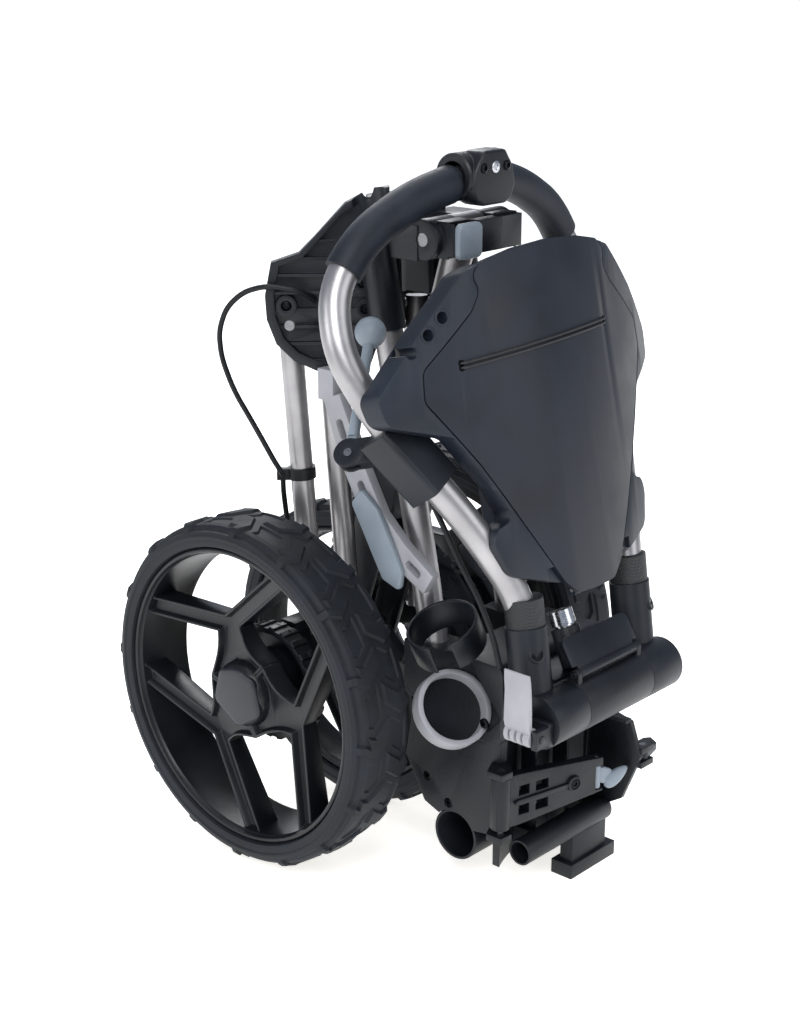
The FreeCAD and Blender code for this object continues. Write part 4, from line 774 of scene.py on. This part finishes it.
@dataclass
class HubCap:
    """Plain shield-shaped cap over the hub, crowned and edged."""

    side: float
    node: str

    def build(self) -> Object:
        """Builds the cap."""
        low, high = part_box(self.node)
        inner = high.x if self.side < 0 else low.x
        centre = Vector((inner, AXLE_Y, AXLE_Z))
        outline = [(-27, -10), (-20, 18), (0, 24), (20, 18), (27, -10), (0, -27)]
        bm = bmesh.new()
        place = facing(centre, Vector((self.side, 0, 0)), Vector((0, self.side, 0)))
        prism(bm, scaled(outline, 0.985 * MM), 3.2 * MM, place)
        bmesh.ops.recalc_face_normals(bm, faces=bm.faces)
        upright = [e for e in bm.edges if abs(e.verts[0].co.x - e.verts[1].co.x) > 2 * MM]
        bmesh.ops.bevel(bm, geom=upright, offset=5 * MM, offset_type="OFFSET", segments=4, profile=0.5,
                        affect="EDGES", clamp_overlap=True, material=-1)
        bm.faces.ensure_lookup_table()
        face = max(bm.faces, key=lambda f: f.calc_center_median().x * self.side)
        for inwards, up in ((1.6, 1.0), (3.4, 0.5)):
            bmesh.ops.inset_region(bm, faces=[face], thickness=inwards * MM, depth=up * MM,
                                   use_even_offset=True)
        soften(bm, 0.3 * MM, 20, 2)
        return stand_in(bm, self.node + "_crowned", self.node, Finish.CAP)


@dataclass
class BrakeDrum:
    """Brake drum with shallow rectangular pockets round it and on its face."""

    node: str = "brake_drum_left"
    pockets: int = 24

    def build(self) -> Object:
        """Builds the drum."""
        low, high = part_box(self.node)
        centre = Vector((0, AXLE_Y, AXLE_Z))
        bm = bmesh.new()
        start, end = low.x / MM, high.x / MM
        profile = [(start, 41.8), (start, 45.8), (end - 8, 45.8), (end - 1, 45.8), (end, 44.8), (end, 40.5),
                   (end, 31.5), (end, 16.2), (end - 4.8, 16.2), (end - 4.8, 41.8)]
        spun(bm, profile, centre, 1.0, self.pockets * 2)
        bm.normal_update()
        chosen = []
        for face in bm.faces:
            middle = face.calc_center_median()
            angle = atan2(middle.z - centre.z, middle.y - centre.y) % tau
            index = int(angle / tau * self.pockets * 2)
            reach = hypot(middle.y - centre.y, middle.z - centre.z)
            on_rim = reach > 45 * MM and abs(face.normal.x) < 0.1 and middle.x < high.x - 4 * MM
            on_face = abs(face.normal.x) > 0.9 and 31.5 * MM < reach < 41 * MM and middle.x > high.x - MM
            if (index % 2 == 0 and on_rim) or (index % 4 == 0 and on_face):
                chosen.append(face)
        bmesh.ops.inset_individual(bm, faces=chosen, thickness=0.7 * MM, depth=-1.8 * MM)
        return stand_in(bm, "brake_drum_pocketed", self.node, Finish.WHEEL)


# ---------------------------------------------------------------- mouldings
def corners(bm: BMesh) -> tuple[Vector, Vector]:
    """Returns the least and the greatest corner of a mesh's box."""
    spans = [[vert.co[k] for vert in bm.verts] for k in range(3)]
    return Vector([min(span) for span in spans]), Vector([max(span) for span in spans])


@dataclass
class Moulding:
    """A moulded piece kept to its frame solid's shape, with its edges rounded as the mould rounds them.

    A second finish may be given, with a test of which points have it, in millimetres.
    """

    node: str
    finish: Finish
    edge_mm: float = 0.8
    least: float = 34.0
    second: Finish | None = None
    pick: Callable[[Vector], bool] | None = None

    def build(self) -> Object | None:
        """Builds the rounded piece, or keeps the frame's own solid where the edges can't take the radius."""
        bm = bmesh.new()
        bm.from_mesh(frame["nodes"][self.node].data)
        bmesh.ops.remove_doubles(bm, verts=bm.verts, dist=MERGE)
        bmesh.ops.dissolve_degenerate(bm, edges=bm.edges, dist=0.00001)
        bmesh.ops.dissolve_limit(bm, angle_limit=radians(1.2), verts=bm.verts, edges=bm.edges)
        before = corners(bm)
        soften(bm, self.edge_mm * MM, self.least, 2)
        moved = max((a - b).length for a, b in zip(before, corners(bm)))
        if moved > MOST_GROWTH or len(bm.faces) > MOST_FACES:
            bm.free()
            log.warning("%s keeps its own solid", self.node)
            return None
        bmesh.ops.triangulate(bm, faces=[f for f in bm.faces if len(f.verts) > 4])
        if self.pick:
            for face in bm.faces:
                face.material_index = int(self.pick(face.calc_center_median() / MM))
        piece = settle(bm, self.node + "_rounded", body_holding(self.node), self.finish,
                       30, weld=False)
        if self.second:
            piece.data.materials.append(self.second.material())
        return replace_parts(piece, self.node)


@dataclass
class LoopClamp:
    """The saddle clamp at the top of the handle loop: a shield-shaped face over one wrap-round collar."""

    centre: Vector = field(default_factory=lambda: Vector((0, -53, 544)))
    half_long: float = 24.5
    wrap: float = 17.4
    face_y: float = -72.8

    def build(self) -> Object:
        """Builds the clamp in place of the frame's plain block."""
        bm = bmesh.new()
        outline = [(-24, -6), (-20, -16), (-13, -19.5), (13, -19.5), (20, -16), (24, -6), (21, 7), (12, 20),
                   (-12, 20), (-21, 7)]
        front = facing(Vector((0, self.face_y, 543)) * MM, Vector((0, -1, 0)), Vector((1, 0, 0)))
        front = front @ Matrix.Translation((0, 0, -19 * MM))
        face = prism(bm, scaled(outline), 19 * MM, front)
        bmesh.ops.inset_region(bm, faces=[face], thickness=2.4 * MM, depth=0.0, use_even_offset=True)
        soften(bm, 3.2 * MM, 25, 4)
        collar = bmesh.new()
        long, wrap = self.half_long, self.wrap
        spun(collar, [(long, 11.6), (long, wrap - 1.4), (long - 1.4, wrap), (-long + 1.4, wrap),
                      (-long, wrap - 1.4), (-long, 11.6)], self.centre * MM, 1, 72)
        merge_into(bm, collar)
        return stand_in(bm, "loop_clamp_saddle", "loop_clamp", Finish.FRAME_PLASTIC, 40)


@dataclass
class HandleFittings:
    """The clamp's two socket screws and its bright insert."""

    def build(self) -> None:
        """Builds the screws in place of the frame's plain heads."""
        ahead = Vector((0, -1, 0))
        places = [(Vector((x, -72.4, 551)), ahead) for x in (-13, 13)]
        holder = body_holding("handle_fittings")
        slot = slot_of("handle_fittings")
        heads = SocketScrews(radius=3.7, rise=2.0).build("clamp_screws", places, holder, slot)
        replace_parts(heads, "handle_fittings")
        middle = [(Vector((0, -72.6, 551)), ahead)]
        insert = SocketScrews(radius=4.4, rise=1.2).build("clamp_insert", middle, holder, slot, Finish.BRIGHT)
        log.info("%s and %s are in place", heads.name, insert.name)


@dataclass
class CamLever:
    """The pale quick-release lever: a paddle that flares at its top over a ribbed foot."""

    foot: Vector = field(default_factory=lambda: Vector((-94, -181, 168)))
    wide: float = 23.0
    ribs: int = 4

    def paddle(self, bm: BMesh) -> None:
        """Adds the paddle, swept up from the foot and flaring away from the sleeve at its top."""
        outline = [(-4.2, 2), (-6.6, 10), (-6.2, 24), (-6.0, 34), (-6.8, 42), (-6.9, 49.6), (-5.6, 50),
                   (-4.6, 45), (-3.4, 36), (-2.6, 22), (-2.2, 10), (2, 4)]
        own = bmesh.new()
        corner = (self.foot + Vector((0, self.wide / 2, 0))) * MM
        place = facing(corner, Vector((0, -1, 0)), Vector((1, 0, 0)))
        prism(own, scaled(outline), self.wide * MM, place)
        soften(own, 0.8 * MM, 28, 3)
        merge_into(bm, own)

    def foot_ribs(self, bm: BMesh) -> None:
        """Adds the foot's eye as a row of thick discs on a thinner core."""
        half = self.wide / 2
        pitch = self.wide / self.ribs
        profile = [(-half, 3.2)]
        for k in range(self.ribs):
            start = -half + pitch * k
            profile += [(start, 6.4), (start + 0.6, 7.0), (start + pitch * 0.62, 7.0),
                        (start + pitch * 0.72, 6.4)]
            if k < self.ribs - 1:
                profile += [(start + pitch * 0.72, 4.8), (start + pitch, 4.8)]
        profile += [(half, 6.4), (half, 3.2)] if profile[-1][0] < half - 0.01 else [(half, 3.2)]
        own = bmesh.new()
        spun(own, profile, Vector((0, 0, 0)), 1, 48)
        turn = Matrix.Translation(self.foot * MM) @ Matrix.Rotation(radians(-90), 4, "Z")
        bmesh.ops.transform(own, matrix=turn, verts=own.verts)
        merge_into(bm, own)

    def build(self) -> Object:
        """Builds the lever in place of the frame's plain one."""
        bm = bmesh.new()
        self.paddle(bm)
        self.foot_ribs(bm)
        return stand_in(bm, "cam_lever_paddle", "cam_lever", Finish.WARM, 36)


@dataclass
class SleeveScrews:
    """The socket screws of the two handle sleeves, each in its own boss."""

    def build(self) -> Object:
        """Builds the bosses and screws, which ride with the handle."""
        bm = bmesh.new()
        places = []
        for side in (-1, 1):
            outward = Vector((side * 0.42, -0.81, 0.41)).normalized()
            at = Vector((side * 64, -162, 214))
            boss = [(0, 0.05), (0, 6.6), (16.6, 6.2), (17.2, 5.6), (17.2, 4.6), (15.6, 4.4), (15.6, 0.05)]
            turned(bm, boss, facing(at * MM, outward))
            places.append((at + outward * 15.6, outward))
        holder, slot = body_holding("handle_sleeves"), slot_of("handle_sleeves")
        piece = settle(bm, "sleeve_bosses", holder, Finish.FRAME_PLASTIC, 34)
        SocketScrews(radius=4.2, rise=1.5).build("sleeve_screws", places, holder, slot)
        log.info("%s with %d screws", piece.name, len(places))
        return piece


@dataclass
class BagArm:
    """Details of the lower bag arm: its stiffening rib, its screw and the pale egg-shaped clip at its end."""

    origin: Vector = field(default_factory=lambda: Vector((-66, -141, 91)))
    turn: float = -15.0
    face: float = 4.0

    def place(self) -> Matrix:
        """Returns the arm's own placement: X along the arm, Y towards the trolley and Z up."""
        return Matrix.Translation(self.origin * MM) @ Matrix.Rotation(radians(self.turn), 4, "Z")

    def rib(self) -> Object:
        """Adds the rib along the arm's middle with its round screw boss."""
        bm = bmesh.new()
        outline = [(10, -3.6), (12, -4.6), (60, -2.6), (60, 0.6), (12, -0.6), (10, -1.6)]
        ahead = self.place() @ facing(Vector((0, -self.face, 0)) * MM, Vector((0, -1, 0)), Vector((1, 0, 0)))
        prism(bm, scaled(outline), 2.0 * MM, ahead)
        soften(bm, 0.5 * MM, 30, 2)
        boss = [(-0.5, 0.05), (-0.5, 6.6), (2.2, 6.2), (2.8, 5.6), (2.8, 4.5), (1.2, 4.3), (1.2, 0.05)]
        turned(bm, boss, ahead @ Matrix.Translation(Vector((66, -1, 0)) * MM))
        return settle(bm, "bag_arm_rib", body_holding("bag_arm"), Finish.CASTING, 34)

    def screw(self) -> Object:
        """Adds the arm's socket screw."""
        spot = self.place() @ (Vector((66, -self.face - 1.2, -1)) * MM) / MM
        outward = self.place().to_3x3() @ Vector((0, -1, 0))
        return SocketScrews(radius=4.1, rise=1.5).build("bag_arm_screw", [(spot, outward)],
                                                        body_holding("bag_arm"), slot_of("bag_arm"))

    def clip(self) -> Object:
        """Builds the clip: an eye on its pin, a short neck and an egg-shaped paddle."""
        bm = bmesh.new()
        for radius, low, high in ((3.4, -13.0, 6.0), (2.0, -14.5, 12.5)):
            own = bmesh.new()
            bmesh.ops.create_cone(own, cap_ends=True, segments=40, radius1=radius * MM, radius2=radius * MM,
                                  depth=(high - low) * MM)
            middle = Matrix.Translation(Vector((91.5, 0, (low + high) / 2)) * MM)
            bmesh.ops.transform(own, matrix=self.place() @ middle, verts=own.verts)
            soften(own, 0.4 * MM, 60, 2)
            merge_into(bm, own)
        neck = bmesh.new()
        outline = [(93, -9), (93, 3), (99, 2.6), (106, -1), (106, -12), (98, -11)]
        ahead = self.place() @ facing(Vector((0, 1.7, 0)) * MM, Vector((0, -1, 0)), Vector((1, 0, 0)))
        prism(neck, scaled(outline), 3.4 * MM, ahead)
        soften(neck, 0.7 * MM, 30, 3)
        merge_into(bm, neck)
        egg = bmesh.new()
        bmesh.ops.create_uvsphere(egg, u_segments=48, v_segments=32, radius=1.0)
        for vert in egg.verts:
            narrow = 1 - 0.28 * vert.co.x
            vert.co = Vector((vert.co.x * 12.5, vert.co.y * 3.6 * narrow, vert.co.z * 6.6 * narrow)) * MM
        lean = Matrix.Translation(Vector((111, -0.6, -8.5)) * MM) @ Matrix.Rotation(radians(-24), 4, "Y")
        bmesh.ops.transform(egg, matrix=self.place() @ lean, verts=egg.verts)
        merge_into(bm, egg)
        return stand_in(bm, "arm_clip_paddle", "arm_clip", Finish.PALE, 40)

    def build(self) -> None:
        """Builds and reports the arm's details."""
        for piece in (self.rib(), self.screw(), self.clip()):
            told(piece)


@dataclass
class TeeRims:
    """Raised rims round the two tee holes that lie whole on the tray's wing."""

    origin: Vector = field(default_factory=lambda: Vector((0, -164, 255)))
    rise: Vector = field(default_factory=lambda: Vector((0, 0.218, 0.976)))
    outwards: Vector = field(default_factory=lambda: Vector((0, -0.976, 0.218)))
    bore: float = 4.2

    def build(self) -> Object:
        """Builds the rims, each laid on the tray's own surface."""
        shell = bmesh.new()
        shell.from_mesh(frame["nodes"]["tray_body"].data)
        tray = BVHTree.FromBMesh(shell)
        shell.free()
        bm = bmesh.new()
        for across, up in ((-104, 213), (-116, 203)):
            flat = self.origin + Vector((across, 0, 0)) + self.rise * up
            touches = []
            for dx, dy in ((6.4, 0), (-6.4, 0), (0, 6.4), (0, -6.4)):
                start = (flat + Vector((dx, 0, 0)) + self.rise * dy + self.outwards * 60) * MM
                spot, normal, _, _ = tray.ray_cast(start, -self.outwards)
                if spot is not None:
                    touches.append((spot / MM, normal))
            if len(touches) < 4:
                continue
            middle = sum((s for s, _ in touches), Vector()) / len(touches)
            normal = sum((n for _, n in touches), Vector()).normalized()
            rim = [(-1.0, self.bore - 0.1), (-1.0, self.bore + 1.7), (0.3, self.bore + 1.6),
                   (0.7, self.bore + 1.1), (0.7, self.bore + 0.3), (0.3, self.bore - 0.1)]
            turned(bm, rim, facing(middle * MM, normal))
        piece = settle(bm, "tee_hole_rims", body_holding("tray_body"), Finish.TRAY, 34)
        told(piece)
        return piece


# ---------------------------------------------------------------- stage
@dataclass
class Studio:
    """Pale floor, soft lights and the camera."""

    eye: tuple[float, float, float] = (-1.022, -0.903, 0.714)
    azimuth: float = -47.9
    elevation: float = 17.8
    lens: float = 63.8

    def floor(self) -> Object:
        """Makes the pale floor, which glows a little so that it stays white far from the lights."""
        bm = bmesh.new()
        bmesh.ops.create_grid(bm, x_segments=2, y_segments=2, size=60.0)
        mesh = bpy.data.meshes.new("studio_floor")
        bm.to_mesh(mesh)
        bm.free()
        material, tree, place = fresh("floor_white_paper")
        tooth = add(tree, "TexNoise", {"Vector": place, "Scale": 420.0}).outputs["Fac"]
        bump = add(tree, "Bump", {"Height": tooth, "Distance": 0.05 * MM, "Strength": 0.2}).outputs["Normal"]
        mesh.materials.append(surfaced(material, tree, {
            "Base Color": linear("#F8F8F8"), "Roughness": 0.8, "Normal": bump,
            "Emission Color": linear("#FFFCF5"), "Emission Strength": 0.74}))
        floor = shown("studio_floor", mesh)
        return floor

    def light(self, name: str, spot: tuple[float, float, float], size: float, watts: float) -> None:
        """Hangs one square soft light, aimed at the trolley's middle.

        Args:
            name: The light's name.
            spot: Where it hangs.
            size: Its side in metres.
            watts: Its power.
        """
        lamp = bpy.data.lights.new(name, "AREA")
        lamp.size, lamp.energy = size, watts
        held = shown(name, lamp)
        held.location = spot
        held.rotation_euler = (Vector((0, 0, 0.28)) - Vector(spot)).to_track_quat("-Z", "Y").to_euler()

    def build(self) -> None:
        """Sets the floor, the lights, the sky and the camera."""
        self.floor()
        self.light("key_softbox", (-1.6, -1.1, 1.9), 1.3, 40)
        self.light("front_softbox", (0.5, -2.2, 1.2), 1.4, 13)
        self.light("side_softbox", (-2.4, 0.9, 1.0), 1.2, 16)
        self.light("back_softbox", (1.2, 1.6, 1.7), 1.1, 26)
        self.light("top_softbox", (0.1, 0.2, 2.4), 1.6, 20)
        world = bpy.data.worlds.new("studio_air")
        world.use_nodes = True
        world.node_tree.nodes["Background"].inputs["Color"].default_value = linear("#D3DEF2")
        world.node_tree.nodes["Background"].inputs["Strength"].default_value = 0.5
        bpy.context.scene.world = world
        eye = bpy.data.cameras.new("studio_camera")
        eye.lens, eye.sensor_width, eye.sensor_fit = self.lens, 36.0, "AUTO"
        held = shown("studio_camera", eye)
        held.location = self.eye
        a, e = radians(-self.azimuth), radians(self.elevation)
        ahead = Vector((sin(a) * cos(e), cos(a) * cos(e), -sin(e)))
        held.rotation_euler = ahead.to_track_quat("-Z", "Y").to_euler()
        bpy.context.scene.camera = held
        bpy.context.scene.view_settings.view_transform = "Standard"


# ---------------------------------------------------------------- the trolley
def dress_frame() -> None:
    """Gives every frame node its finish."""
    for finish, nodes in NODE_FINISH.items():
        for node in nodes:
            mesh = frame["nodes"][node].data
            mesh.materials.clear()
            mesh.materials.append(finish.material())


RING_AT, RING_AXIS = Vector((-70, -99, 157)), Vector((-0.30, -0.74, 0.60)).normalized()


def in_ring_disc(point: Vector) -> bool:
    """Tells whether a point of the accessory ring belongs to its dark closing disc."""
    arm = point - RING_AT
    height = arm.dot(RING_AXIS)
    return height < -10.5 and (arm - RING_AXIS * height).length < 25.4


@dataclass
class Mouldings:
    """Every moulded piece whose edges are rounded, with how large its mould's radius is in millimetres."""

    radii: dict[str, float] = field(default_factory=lambda: {
        "hip_core": 1.2, "hip_cover_left": 0.9, "hip_cover_right": 0.9, "lower_casting": 1.4,
        "fork_crown": 1.2, "handle_sleeves": 0.9, "brake_housing": 1.6, "latch_plate": 1.0, "bag_saddle": 0.8,
        "bag_arm": 1.0, "strap": 1.2, "strap_tab": 1.6, "holder_band": 0.8, "foot_rail": 1.2,
        "hub_bracket_left": 1.2, "hub_bracket_right": 1.2, "release_button": 1.6, "strap_hook": 0.8,
        "tray_body": 1.6, "tray_lid": 1.4, "cross_tubes": 0.7})

    def build(self) -> None:
        """Builds and reports every rounded moulding."""
        dress = {node: finish for finish, nodes in NODE_FINISH.items() for node in nodes}
        for node, radius in self.radii.items():
            piece = Moulding(node, dress[node], radius).build()
            if piece:
                told(piece)
        Moulding("accessory_ring", Finish.WARM, 1.0, second=Finish.CASTING, pick=in_ring_disc).build()


@dataclass
class FrameScrews:
    """The socket screws of the hip covers, of the lower casting and of the holder."""

    hip: tuple[tuple[float, float], ...] = ((102, 444), (44, 461), (42, 441))

    def build(self) -> None:
        """Builds the screws as one piece in place of the frame's plain heads."""
        half = sqrt(0.5)
        places = []
        for side in (-1, 1):
            outward, front = Vector((side * half, half, 0)), Vector((side * half, -half, 0))
            places += [(outward * w + front * 16 + Vector((0, 0, z)), front) for w, z in self.hip]
        for spot in ((-59.1, -119, 146), (-57.1, -62, 84), (-57.1, -84, 68)):
            places.append((Vector(spot), Vector((-1, 0, 0))))
        holder = Vector((-0.6, -0.8, 0))
        places.append((Vector((-50, -81, 262)) + holder * 3, holder))
        piece = SocketScrews().build("socket_screws", places, "frame", slot_of("casting_screws"))
        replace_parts(piece, "casting_screws")
        log.info("%s: %d heads", piece.name, len(places))


def main() -> None:
    """Builds the whole scene."""
    Studio().build()
    dress_frame()
    for wheel in (Wheel("left", "tyre_left", "rim_left", -1, 145, 60, 16),
                  Wheel("right", "tyre_right", "rim_right", 1, 145, 60, 16),
                  Wheel("front", "front_tyre", "front_rim", -1, 135, 40, 15, lobe_deep=20, lobe_dip=3)):
        wheel.build()
    for side, node in ((-1, "hub_cap_left"), (1, "hub_cap_right")):
        HubCap(side, node).build()
    BrakeDrum().build()
    Mouldings().build()
    LoopClamp().build()
    HandleFittings().build()
    CamLever().build()
    SleeveScrews().build()
    BagArm().build()
    TeeRims().build()
    FrameScrews().build()


if __name__ == "__main__":
    main()
